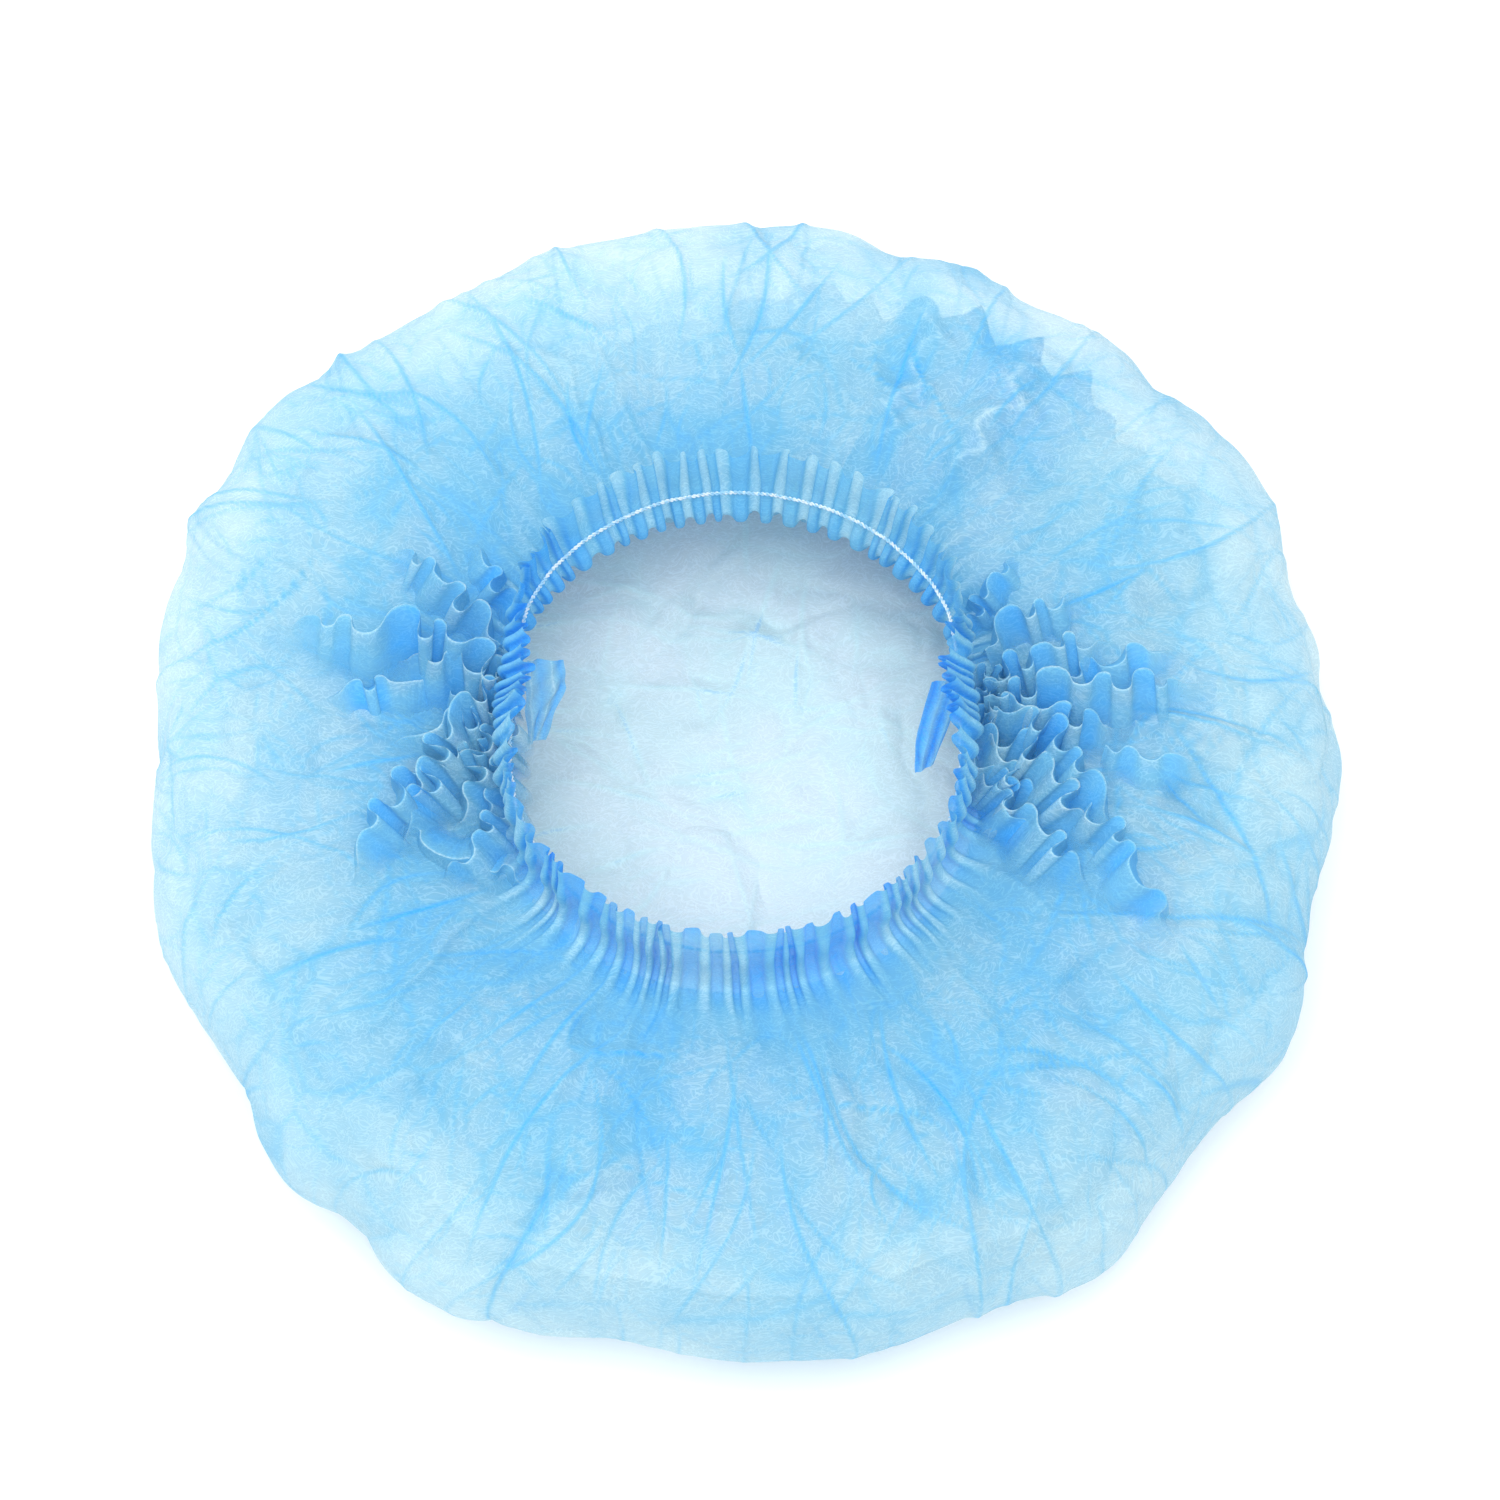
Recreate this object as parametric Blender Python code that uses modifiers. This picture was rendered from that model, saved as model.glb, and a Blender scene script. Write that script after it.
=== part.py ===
# Disposable bouffant cap of non-woven fabric, lying on its crown with the opening up.
# Metres, +Z up. The origin is the middle of the face that the cap rests on.
# Seen from above, +X is the cap's right and +Y is the side away from the viewer.

import math

import bmesh
import bpy

# The bag, measured over its outer face
BAG_HALF_WIDTH = 0.1500
BAG_HALF_DEPTH = 0.1545
WALL = 0.0015

# The elastic's own line round the opening, drawn in where the ends of the strip are welded
RING_HALF_WIDTH = 0.0610
RING_HALF_DEPTH = 0.0620
RING_HEIGHT = 0.0580
RING_SHIFT_X = -0.0034
RING_SHIFT_Y = 0.0014
POLE_PINCH = 0.0045
POLE_SPAN_FAR_DEG = 15.0
POLE_SPAN_NEAR_DEG = 45.0
ELASTIC_DIAMETER = 0.0018

# Cloth above the elastic, the gathers along it, the standing pleats and the dents
HEM_HEIGHT = 0.0100
HEM_LEAN = 0.0018
GATHER_COUNT = 44
GATHER_DEPTH = 0.0019
PLEAT_HEIGHT = 0.0110
DENT_DEPTH = 0.0060

# The welded ends of the strip, which hang inside the opening at the two poles
TAB_HEIGHT = 0.0200
TAB_PLEAT_LENGTH = 0.0055
TAB_PLEAT_STEP = 0.0030
TAB_PLEATS = 4
TAB_WALL = 0.0012

CLEARANCE = 0.0003

LEFT_POLE_DEG = 171.0
RIGHT_POLE_DEG = 7.0
COLUMNS_PER_GATHER = 4
COLUMNS = GATHER_COUNT * COLUMNS_PER_GATHER
ELASTIC_POINTS = 72
ELASTIC_BEVEL_RESOLUTION = 2
SHARP_EDGE_DEG = 50.0

# How far the cloth's outer face stands outside the elastic's line
NECK_OFFSET = ELASTIC_DIAMETER / 2 + CLEARANCE + GATHER_DEPTH + WALL

FABRIC_BLUE = (0.33, 0.68, 0.93, 1.0)
ELASTIC_WHITE = (0.93, 0.96, 0.98, 1.0)

# Outline seen from above: reach as a share of the bag's half size at that angle
OUTLINE = [
    {"angle": 2, "reach": 1.000},
    {"angle": 12, "reach": 0.992},
    {"angle": 19, "reach": 0.969},
    {"angle": 27, "reach": 1.010},
    {"angle": 37, "reach": 1.018},
    {"angle": 44, "reach": 0.985},
    {"angle": 50, "reach": 0.997},
    {"angle": 61, "reach": 0.967},
    {"angle": 68, "reach": 0.988},
    {"angle": 74, "reach": 0.970},
    {"angle": 82, "reach": 0.996},
    {"angle": 96, "reach": 0.992},
    {"angle": 108, "reach": 0.993},
    {"angle": 119, "reach": 0.998},
    {"angle": 130, "reach": 1.005},
    {"angle": 142, "reach": 1.050},
    {"angle": 150, "reach": 1.037},
    {"angle": 155, "reach": 1.040},
    {"angle": 159, "reach": 1.025},
    {"angle": 167, "reach": 1.025},
    {"angle": 175, "reach": 1.000},
    {"angle": 186, "reach": 1.007},
    {"angle": 199, "reach": 1.022},
    {"angle": 213, "reach": 0.994},
    {"angle": 224, "reach": 1.030},
    {"angle": 230, "reach": 1.004},
    {"angle": 238, "reach": 1.034},
    {"angle": 247, "reach": 1.016},
    {"angle": 259, "reach": 0.984},
    {"angle": 270, "reach": 0.993},
    {"angle": 281, "reach": 0.999},
    {"angle": 293, "reach": 0.989},
    {"angle": 304, "reach": 1.026},
    {"angle": 311, "reach": 0.993},
    {"angle": 323, "reach": 0.980},
    {"angle": 330, "reach": 1.005},
    {"angle": 341, "reach": 0.970},
    {"angle": 347, "reach": 0.964},
    {"angle": 354, "reach": 0.984},
]

# Sections of the cloth from the resting floor, round the outline and up to the raw edge.
# ring and outline: shares of those two plan radii. height: share of the elastic's height.
# lean and rise: shares of the hem's lean and height. gather_out and gather_up: shares of the
# gathers' depth. relief: share of the pleats and dents that reaches the section.
SECTIONS = [
    {"ring": 0.00, "outline": 0.640, "height": 0.000, "lean": 0.0, "rise": 0.0,
     "gather_out": 0.0, "gather_up": 0.0, "relief": 0.0},
    {"ring": 0.00, "outline": 0.850, "height": 0.050, "lean": 0.0, "rise": 0.0,
     "gather_out": 0.0, "gather_up": 0.0, "relief": 0.0},
    {"ring": 0.00, "outline": 0.965, "height": 0.210, "lean": 0.0, "rise": 0.0,
     "gather_out": 0.0, "gather_up": 0.0, "relief": 0.0},
    {"ring": 0.00, "outline": 1.000, "height": 0.440, "lean": 0.0, "rise": 0.0,
     "gather_out": 0.0, "gather_up": 0.0, "relief": 0.1},
    {"ring": 0.03, "outline": 0.970, "height": 0.670, "lean": 0.0, "rise": 0.0,
     "gather_out": 0.0, "gather_up": 0.0, "relief": 0.4},
    {"ring": 0.13, "outline": 0.870, "height": 0.810, "lean": 0.0, "rise": 0.0,
     "gather_out": 0.0, "gather_up": 0.1, "relief": 0.8},
    {"ring": 0.31, "outline": 0.690, "height": 0.870, "lean": 0.0, "rise": 0.0,
     "gather_out": 0.0, "gather_up": 0.3, "relief": 1.0},
    {"ring": 0.52, "outline": 0.480, "height": 0.880, "lean": 0.0, "rise": 0.0,
     "gather_out": 0.0, "gather_up": 0.6, "relief": 1.0},
    {"ring": 0.72, "outline": 0.280, "height": 0.850, "lean": 0.0, "rise": 0.0,
     "gather_out": 0.0, "gather_up": 0.9, "relief": 1.0},
    {"ring": 0.88, "outline": 0.120, "height": 0.780, "lean": 0.0, "rise": 0.0,
     "gather_out": 0.2, "gather_up": 1.0, "relief": 0.7},
    {"ring": 0.97, "outline": 0.030, "height": 0.770, "lean": 0.0, "rise": 0.0,
     "gather_out": 0.8, "gather_up": 0.4, "relief": 0.3},
    {"ring": 1.00, "outline": 0.000, "height": 0.850, "lean": -1.0, "rise": 0.0,
     "gather_out": 1.0, "gather_up": 0.0, "relief": 0.1},
    {"ring": 1.00, "outline": 0.000, "height": 1.000, "lean": 0.0, "rise": 0.0,
     "gather_out": 1.0, "gather_up": 0.0, "relief": 0.0},
    {"ring": 1.00, "outline": 0.000, "height": 1.000, "lean": 0.4, "rise": 0.5,
     "gather_out": 1.2, "gather_up": 0.0, "relief": 0.0},
    {"ring": 1.00, "outline": 0.000, "height": 1.000, "lean": 1.0, "rise": 1.0,
     "gather_out": 1.4, "gather_up": 0.3, "relief": 0.0},
]

# Pleats that stand up from the poles, the broad folds between them and the dents of the outline.
# A crest runs from angle at start to bend at end, start and end being shares of the way out.
# ahead and behind: its half widths in degrees on the sides of growing and lesser angle.
# pleat and dent: shares of those two sizes.
FOLDS = [
    {"angle": 163, "bend": 164, "start": 0.05, "end": 0.66, "ahead": 9, "behind": 4, "pleat": 1.0, "dent": 0.0},
    {"angle": 175, "bend": 199, "start": 0.05, "end": 0.46, "ahead": 8, "behind": 4, "pleat": 1.0, "dent": 0.0},
    {"angle": 148, "bend": 150, "start": 0.08, "end": 0.50, "ahead": 4, "behind": 4, "pleat": 0.5, "dent": 0.0},
    {"angle": 210, "bend": 217, "start": 0.10, "end": 0.60, "ahead": 6, "behind": 6, "pleat": 0.4, "dent": 0.0},
    {"angle": 8, "bend": 4, "start": 0.05, "end": 0.60, "ahead": 4, "behind": 6, "pleat": 1.0, "dent": 0.0},
    {"angle": -4, "bend": -26, "start": 0.05, "end": 0.50, "ahead": 4, "behind": 8, "pleat": 1.0, "dent": 0.0},
    {"angle": 26, "bend": 21, "start": 0.06, "end": 0.48, "ahead": 4, "behind": 6, "pleat": 0.8, "dent": 0.0},
    {"angle": 52, "bend": 56, "start": 0.25, "end": 0.95, "ahead": 5, "behind": 5, "pleat": 0.4, "dent": 0.0},
    {"angle": 66, "bend": 68, "start": 0.25, "end": 0.90, "ahead": 4, "behind": 4, "pleat": 0.3, "dent": 0.0},
    {"angle": 186, "bend": 181, "start": 0.30, "end": 0.95, "ahead": 7, "behind": 7, "pleat": 0.0, "dent": 0.7},
    {"angle": 352, "bend": 345, "start": 0.40, "end": 1.00, "ahead": 6, "behind": 6, "pleat": 0.0, "dent": 0.8},
    {"angle": 19, "bend": 19, "start": 0.50, "end": 1.00, "ahead": 5, "behind": 5, "pleat": 0.0, "dent": 0.8},
    {"angle": 44, "bend": 44, "start": 0.35, "end": 1.00, "ahead": 5, "behind": 5, "pleat": 0.0, "dent": 0.6},
    {"angle": 74, "bend": 74, "start": 0.35, "end": 1.00, "ahead": 5, "behind": 5, "pleat": 0.0, "dent": 0.5},
    {"angle": 101, "bend": 103, "start": 0.25, "end": 1.00, "ahead": 6, "behind": 6, "pleat": 0.0, "dent": 0.6},
    {"angle": 125, "bend": 122, "start": 0.25, "end": 1.00, "ahead": 7, "behind": 7, "pleat": 0.0, "dent": 0.6},
    {"angle": 230, "bend": 230, "start": 0.30, "end": 1.00, "ahead": 6, "behind": 6, "pleat": 0.0, "dent": 0.8},
    {"angle": 258, "bend": 260, "start": 0.25, "end": 1.00, "ahead": 6, "behind": 6, "pleat": 0.0, "dent": 0.5},
    {"angle": 286, "bend": 289, "start": 0.20, "end": 1.00, "ahead": 6, "behind": 6, "pleat": 0.0, "dent": 0.5},
    {"angle": 320, "bend": 321, "start": 0.25, "end": 1.00, "ahead": 6, "behind": 6, "pleat": 0.0, "dent": 0.8},
]


def clear_scene():
    for old in list(bpy.data.objects):
        bpy.data.objects.remove(old, do_unlink=True)


def make_collection(name):
    collection = bpy.data.collections.new(name)
    bpy.context.scene.collection.children.link(collection)
    return collection


def make_material(name, colour, roughness):
    material = bpy.data.materials.new(name)
    material.use_nodes = True
    shader = material.node_tree.nodes["Principled BSDF"]
    shader.inputs["Base Color"].default_value = colour
    shader.inputs["Roughness"].default_value = roughness
    shader.inputs["Metallic"].default_value = 0.0
    material.diffuse_color = colour
    return material


def degrees_apart(angle, other):
    return (angle - other + 180.0) % 360.0 - 180.0


def direction(angle):
    turn = math.radians(angle)
    return math.cos(turn), math.sin(turn)


def ellipse_radius(half_width, half_depth, angle):
    along_x, along_y = direction(angle)
    return 1.0 / math.hypot(along_x / half_width, along_y / half_depth)


def outline_reach(angle):
    """The outline's reach at an angle, on a smooth curve through the table's rows."""
    count = len(OUTLINE)
    angle = OUTLINE[0]["angle"] + (angle - OUTLINE[0]["angle"]) % 360.0
    index = max(i for i in range(count) if OUTLINE[i]["angle"] <= angle + 1e-9)
    before, here, there, beyond = (OUTLINE[(index + step) % count]["reach"] for step in (-1, 0, 1, 2))
    span = (OUTLINE[(index + 1) % count]["angle"] - OUTLINE[index]["angle"]) % 360.0
    along = (angle - OUTLINE[index]["angle"]) / span
    start_slope = (there - before) / 2
    end_slope = (beyond - here) / 2
    square, cube = along**2, along**3
    return (
        (2 * cube - 3 * square + 1) * here
        + (cube - 2 * square + along) * start_slope
        + (3 * square - 2 * cube) * there
        + (cube - square) * end_slope
    )


def outline_radius(angle):
    return outline_reach(angle) * ellipse_radius(BAG_HALF_WIDTH, BAG_HALF_DEPTH, angle)


def ring_radius(angle):
    """The elastic's radius about the opening's own centre."""
    pinch = 0.0
    for pole, nearer_side in ((LEFT_POLE_DEG, 1), (RIGHT_POLE_DEG, -1)):
        apart = degrees_apart(angle, pole)
        span = POLE_SPAN_NEAR_DEG if apart * nearer_side > 0 else POLE_SPAN_FAR_DEG
        pinch += POLE_PINCH * math.exp(-((apart / span) ** 2))
    return ellipse_radius(RING_HALF_WIDTH, RING_HALF_DEPTH, angle) - pinch


def ring_point(angle, outward=0.0):
    along_x, along_y = direction(angle)
    radius = ring_radius(angle) + outward
    return RING_SHIFT_X + radius * along_x, RING_SHIFT_Y + radius * along_y


def fold_relief(angle, out):
    """How far the standing pleats and the dents lift the cloth, at a share of the way out."""
    height = 0.0
    for fold in FOLDS:
        along = (out - fold["start"]) / (fold["end"] - fold["start"])
        if not 0.0 < along < 1.0:
            continue
        crest = fold["angle"] + degrees_apart(fold["bend"], fold["angle"]) * along
        apart = degrees_apart(angle, crest)
        width = fold["ahead"] if apart > 0 else fold["behind"]
        swell = math.sin(math.pi * min(along * 1.5, 0.5 + along / 2)) ** 0.8
        size = fold["pleat"] * PLEAT_HEIGHT - fold["dent"] * DENT_DEPTH
        height += size * swell * math.exp(-((apart / width) ** 2))
    return height


def base_point(section, angle):
    """A point of the plain bag, before its gathers and folds."""
    along_x, along_y = direction(angle)
    lean = section["lean"] * HEM_LEAN * (1.0 + along_y)
    ring_x, ring_y = ring_point(angle, NECK_OFFSET)
    reach = section["outline"] * outline_radius(angle) + lean
    height = section["height"] * RING_HEIGHT + section["rise"] * HEM_HEIGHT
    return section["ring"] * ring_x + reach * along_x, section["ring"] * ring_y + reach * along_y, height


def gather_offset(section, column, angle):
    """How the gathers, pleats and dents move a point of the plain bag."""
    along_x, along_y = direction(angle)
    wave = math.cos(2 * math.pi * column / COLUMNS_PER_GATHER)
    fullness = 0.8 + 0.2 * math.cos(math.radians(angle) * 7)
    out = wave * fullness * section["gather_out"] * GATHER_DEPTH
    up = wave * fullness * section["gather_up"] * GATHER_DEPTH
    if section["relief"] > 0.0:
        up += section["relief"] * fold_relief(angle, section["outline"])
    return out * along_x, out * along_y, up


def make_crown(material):
    """The bag: a grid bent into the plain shape, thickened, then gathered and pleated."""
    bm = bmesh.new()
    bmesh.ops.create_grid(bm, x_segments=COLUMNS, y_segments=len(SECTIONS) - 1, size=1.0)
    offsets = bm.verts.layers.float_vector.new("gather")
    for vert in bm.verts:
        column = round((vert.co.x + 1) / 2 * COLUMNS)
        section = SECTIONS[round((vert.co.y + 1) / 2 * (len(SECTIONS) - 1))]
        angle = 360.0 * column / COLUMNS
        vert.co = base_point(section, angle)
        vert[offsets] = gather_offset(section, column, angle)
    bmesh.ops.remove_doubles(bm, verts=bm.verts, dist=WALL / 100)
    floor_edges = [e for e in bm.edges if e.is_boundary and e.verts[0].co.z < WALL / 2]
    bmesh.ops.contextual_create(bm, geom=floor_edges)
    bmesh.ops.recalc_face_normals(bm, faces=bm.faces)
    plain = bpy.data.meshes.new("crown_plain")
    bm.to_mesh(plain)
    bm.free()

    crown = bpy.data.objects.new("crown", plain)
    PARTS.objects.link(crown)
    shell = crown.modifiers.new("cloth wall", "SOLIDIFY")
    shell.thickness = WALL
    shell.offset = -1.0
    shell.use_even_offset = True
    graph = bpy.context.evaluated_depsgraph_get()
    thick = bpy.data.meshes.new_from_object(crown.evaluated_get(graph))
    crown.modifiers.clear()
    for vert, offset in zip(thick.vertices, thick.attributes["gather"].data):
        vert.co += offset.vector
    crown.data = thick
    bpy.data.meshes.remove(plain)
    thick.shade_smooth()
    thick.set_sharp_from_angle(angle=math.radians(SHARP_EDGE_DEG))
    thick.materials.append(material)
    return crown


def make_elastic(material):
    """The covered elastic cord, a closed loop along the inner face of the neck."""
    curve = bpy.data.curves.new("elastic_band", "CURVE")
    curve.dimensions = "3D"
    curve.bevel_depth = ELASTIC_DIAMETER / 2
    curve.bevel_resolution = ELASTIC_BEVEL_RESOLUTION
    spline = curve.splines.new("POLY")
    spline.points.add(ELASTIC_POINTS - 1)
    for index, point in enumerate(spline.points):
        x, y = ring_point(360.0 * index / ELASTIC_POINTS)
        point.co = (x, y, RING_HEIGHT, 1.0)
    spline.use_cyclic_u = True
    spline.use_smooth = True
    elastic = bpy.data.objects.new("elastic_band", curve)
    PARTS.objects.link(elastic)
    curve.materials.append(material)
    return elastic


def pleated_outline():
    """The section of a small accordion of cloth, its two faces a wall apart."""
    slant = math.hypot(TAB_PLEAT_LENGTH, TAB_PLEAT_STEP) / TAB_PLEAT_STEP
    near, far = [], []
    for index in range(TAB_PLEATS + 1):
        across = (index - TAB_PLEATS / 2) * TAB_PLEAT_STEP
        depth = TAB_PLEAT_LENGTH / 2 * (1 if index % 2 else -1)
        near.append((depth - TAB_WALL / 2 * slant, across))
        far.append((depth + TAB_WALL / 2 * slant, across))
    return near + far[::-1]


def make_tab(name, pole_deg, material):
    """A welded end of the strip: a pleated stub hanging down inside the elastic."""
    outline = pleated_outline()
    curve = bpy.data.curves.new(name, "CURVE")
    curve.dimensions = "2D"
    curve.fill_mode = "BOTH"
    curve.extrude = TAB_HEIGHT / 2
    spline = curve.splines.new("POLY")
    spline.points.add(len(outline) - 1)
    for point, (x, y) in zip(spline.points, outline):
        point.co = (x, y, 0.0, 1.0)
    spline.use_cyclic_u = True
    tab = bpy.data.objects.new(name, curve)
    PARTS.objects.link(tab)
    half_thick = max(x for x, _ in outline)
    x, y = ring_point(pole_deg, -ELASTIC_DIAMETER / 2 - CLEARANCE - half_thick)
    tab.location = (x, y, RING_HEIGHT + ELASTIC_DIAMETER - TAB_HEIGHT / 2)
    tab.rotation_euler = (0.0, 0.0, math.radians(pole_deg))
    curve.materials.append(material)
    return tab


clear_scene()
PARTS = make_collection("bouffant_cap")
fabric = make_material("nonwoven_fabric", FABRIC_BLUE, 0.85)
elastic_cover = make_material("elastic_cover", ELASTIC_WHITE, 0.6)
make_crown(fabric)
make_elastic(elastic_cover)
make_tab("end_tab_left", LEFT_POLE_DEG, fabric)
make_tab("end_tab_right", RIGHT_POLE_DEG, fabric)
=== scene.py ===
# Gathered bouffant cap of thin non-woven cloth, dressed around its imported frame.
import math

import bpy
import numpy as np
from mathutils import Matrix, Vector, kdtree


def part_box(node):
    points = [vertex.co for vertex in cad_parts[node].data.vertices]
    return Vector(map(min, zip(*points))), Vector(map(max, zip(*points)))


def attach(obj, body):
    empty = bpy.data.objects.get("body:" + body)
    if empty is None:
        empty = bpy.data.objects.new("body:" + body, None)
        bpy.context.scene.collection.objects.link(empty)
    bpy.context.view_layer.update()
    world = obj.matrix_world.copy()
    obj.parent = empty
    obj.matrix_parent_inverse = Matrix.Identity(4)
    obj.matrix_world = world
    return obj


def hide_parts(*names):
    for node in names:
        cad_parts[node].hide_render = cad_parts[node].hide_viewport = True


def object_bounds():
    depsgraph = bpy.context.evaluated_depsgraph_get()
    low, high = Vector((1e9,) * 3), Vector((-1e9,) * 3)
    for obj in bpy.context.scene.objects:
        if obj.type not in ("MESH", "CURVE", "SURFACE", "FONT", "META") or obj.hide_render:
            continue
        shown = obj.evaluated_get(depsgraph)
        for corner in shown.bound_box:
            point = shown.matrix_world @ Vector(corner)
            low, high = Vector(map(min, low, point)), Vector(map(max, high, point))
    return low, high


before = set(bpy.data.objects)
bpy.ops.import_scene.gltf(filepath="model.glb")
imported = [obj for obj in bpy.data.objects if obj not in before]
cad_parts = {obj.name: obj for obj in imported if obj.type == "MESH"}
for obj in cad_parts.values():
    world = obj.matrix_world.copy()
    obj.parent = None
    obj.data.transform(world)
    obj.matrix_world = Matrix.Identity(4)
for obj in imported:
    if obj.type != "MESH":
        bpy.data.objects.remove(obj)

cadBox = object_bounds()
mm = 0.001
fullTurn = 2 * math.pi
print("frame loaded")


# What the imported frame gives: the outline, the elastic's line and the heights

def nodePoints(name):
    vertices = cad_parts[name].data.vertices
    points = np.empty(len(vertices) * 3, dtype=np.float32)
    vertices.foreach_get("co", points)
    return points.reshape(-1, 3).astype(float)


def closedCurve(samples, harmonics):
    spectrum = np.fft.rfft(samples) / len(samples)

    def radiusAt(angle):
        radius = np.full_like(angle, spectrum[0].real)
        for order in range(1, harmonics):
            share = spectrum[order]
            radius += 2 * (share.real * np.cos(order * angle) - share.imag * np.sin(order * angle))
        return radius

    return radiusAt


def reachAround(points, centre, stations):
    offset = points[:, :2] - centre
    station = np.round(np.arctan2(offset[:, 1], offset[:, 0]) / fullTurn * stations).astype(int) % stations
    reach = np.zeros(stations)
    np.maximum.at(reach, station, np.hypot(offset[:, 0], offset[:, 1]))
    return reach


def poleAngle(tab):
    # where an end of the strip lies round the ring, in degrees
    low, high = (np.array(corner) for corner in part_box(tab))
    x, y = ((low + high) / 2)[:2] - ringCentre
    return math.degrees(math.atan2(y, x))


frameSettings = {
    "outlineStations": 176,
    "outlineHarmonics": 60,
    "ringStations": 72,
    "ringHarmonics": 24,
}

elasticLow, elasticHigh = (np.array(corner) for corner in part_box("elastic_band"))
ringCentre = ((elasticLow + elasticHigh) / 2)[:2]
ringHeight = (elasticLow[2] + elasticHigh[2]) / 2
elasticRadius = (elasticHigh[2] - elasticLow[2]) / 2
hemHeight = cadBox[1][2] - ringHeight
outlineReach = reachAround(nodePoints("crown"), np.zeros(2), frameSettings["outlineStations"])
outlineRadius = closedCurve(outlineReach, frameSettings["outlineHarmonics"])
ringReach = reachAround(nodePoints("elastic_band"), ringCentre, frameSettings["ringStations"])
ringRadius = closedCurve(ringReach - elasticRadius, frameSettings["ringHarmonics"])
poleAngles = [poleAngle(tab) for tab in ("end_tab_left", "end_tab_right")]
print("outline and elastic read from the frame")


# Shared mesh tools

def table(columns, rows):
    return [dict(zip(columns.split(), row)) for row in rows]


def gridFaces(rows, columns, closed, first):
    across = np.arange(columns if closed else columns - 1)
    row, column = np.meshgrid(np.arange(rows - 1), across, indexing="ij")
    this, following, after = row * columns, (row + 1) * columns, (column + 1) % columns
    corners = (this + column, this + after, following + after, following + column)
    return first + np.stack(corners, axis=-1).reshape(-1, 4)


def meshFromGrids(name, grids, closed=False, normals=None):
    # each grid is its points and its masks; together they make one smooth mesh
    points = np.concatenate([grid.reshape(-1, 3) for grid, masks in grids])
    faces, first = [], 0
    for grid, masks in grids:
        rows, columns = grid.shape[:2]
        part = gridFaces(rows, columns, closed, first)
        first += rows * columns
        if not closed:
            a, b, c = (points[part[:, corner]] for corner in (0, 1, 2))
            if np.cross(b - a, c - a)[:, 2].sum() < 0:
                part = part[:, ::-1]  # open strips face upwards
        faces.append(part)
    faces = np.concatenate(faces)
    mesh = bpy.data.meshes.new(name)
    mesh.vertices.add(len(points))
    mesh.vertices.foreach_set("co", points.reshape(-1).astype(np.float32))
    mesh.loops.add(faces.size)
    mesh.loops.foreach_set("vertex_index", faces.reshape(-1).astype(np.int32))
    mesh.polygons.add(len(faces))
    mesh.polygons.foreach_set("loop_start", np.arange(0, faces.size, 4, dtype=np.int32))
    mesh.update(calc_edges=True)
    mesh.shade_smooth()
    for key in grids[0][1]:
        values = [np.broadcast_to(masks[key], grid.shape[:2]).reshape(-1) for grid, masks in grids]
        layer = mesh.attributes.new(key, "FLOAT", "POINT")
        layer.data.foreach_set("value", np.concatenate(values).astype(np.float32))
    mesh.validate()
    if normals is not None:
        mesh.normals_split_custom_set_from_vertices(normals.reshape(-1, 3).tolist())
    piece = bpy.data.objects.new(name, mesh)
    bpy.context.scene.collection.objects.link(piece)
    return piece


def bakeModifiers(piece):
    depsgraph = bpy.context.evaluated_depsgraph_get()
    plain = bpy.data.meshes.new_from_object(piece.evaluated_get(depsgraph), depsgraph=depsgraph)
    made = bpy.data.objects.new(piece.name, plain)
    name = piece.name
    bpy.data.objects.remove(piece, do_unlink=True)
    made.name = name
    bpy.context.scene.collection.objects.link(made)
    return made


def throughSections(rows, values):
    # a smooth curve through the sections, its tangents by chord length
    knots = np.concatenate([[0.0], np.cumsum(rows[1:])])
    at = np.arange(knots[-1] + 1)
    index = np.clip(np.searchsorted(knots, at, side="right") - 1, 0, len(knots) - 2)
    span = (knots[1:] - knots[:-1])[index]
    along = (at - knots[index]) / span
    slopes = np.gradient(values, knots, axis=0)
    shape = (-1,) + (1,) * (values.ndim - 1)
    along, span = along.reshape(shape), span.reshape(shape)
    square, cube = along**2, along**3
    return (
        (2 * cube - 3 * square + 1) * values[index]
        + (cube - 2 * square + along) * span * slopes[index]
        + (3 * square - 2 * cube) * values[index + 1]
        + (cube - square) * span * slopes[index + 1]
    )


def betweenSections(rows, values):
    knots = np.concatenate([[0.0], np.cumsum(rows[1:])])
    return np.interp(np.arange(knots[-1] + 1), knots, values)[:, None]


def surfaceNormals(grid):
    around = np.roll(grid, -1, axis=1) - np.roll(grid, 1, axis=1)
    along = np.gradient(grid, axis=0)
    normals = np.cross(around, along)
    return normals / (np.linalg.norm(normals, axis=2, keepdims=True) + 1e-12)


def softened(values, columns, rows):
    # a soft blur: round the cap by columns, across it by rows
    spectrum = np.fft.rfft(values, axis=1)
    order = np.arange(spectrum.shape[1])
    spectrum = spectrum * np.exp(-0.5 * (order * fullTurn * columns / values.shape[1]) ** 2)
    smooth = np.fft.irfft(spectrum, values.shape[1], axis=1)
    reach = int(math.ceil(3 * rows))
    kernel = np.exp(-0.5 * (np.arange(-reach, reach + 1) / rows) ** 2)
    padded = np.pad(smooth, ((reach, reach), (0, 0)), mode="edge")
    return sum(share * padded[start:start + len(values)] for start, share in enumerate(kernel / kernel.sum()))


noiseSettings = {
    "octaves": 3,
    "waves": 24,
    "fineness": 2.2,
    "fade": 1.7,
    "contrast": 0.28,
}


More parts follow.
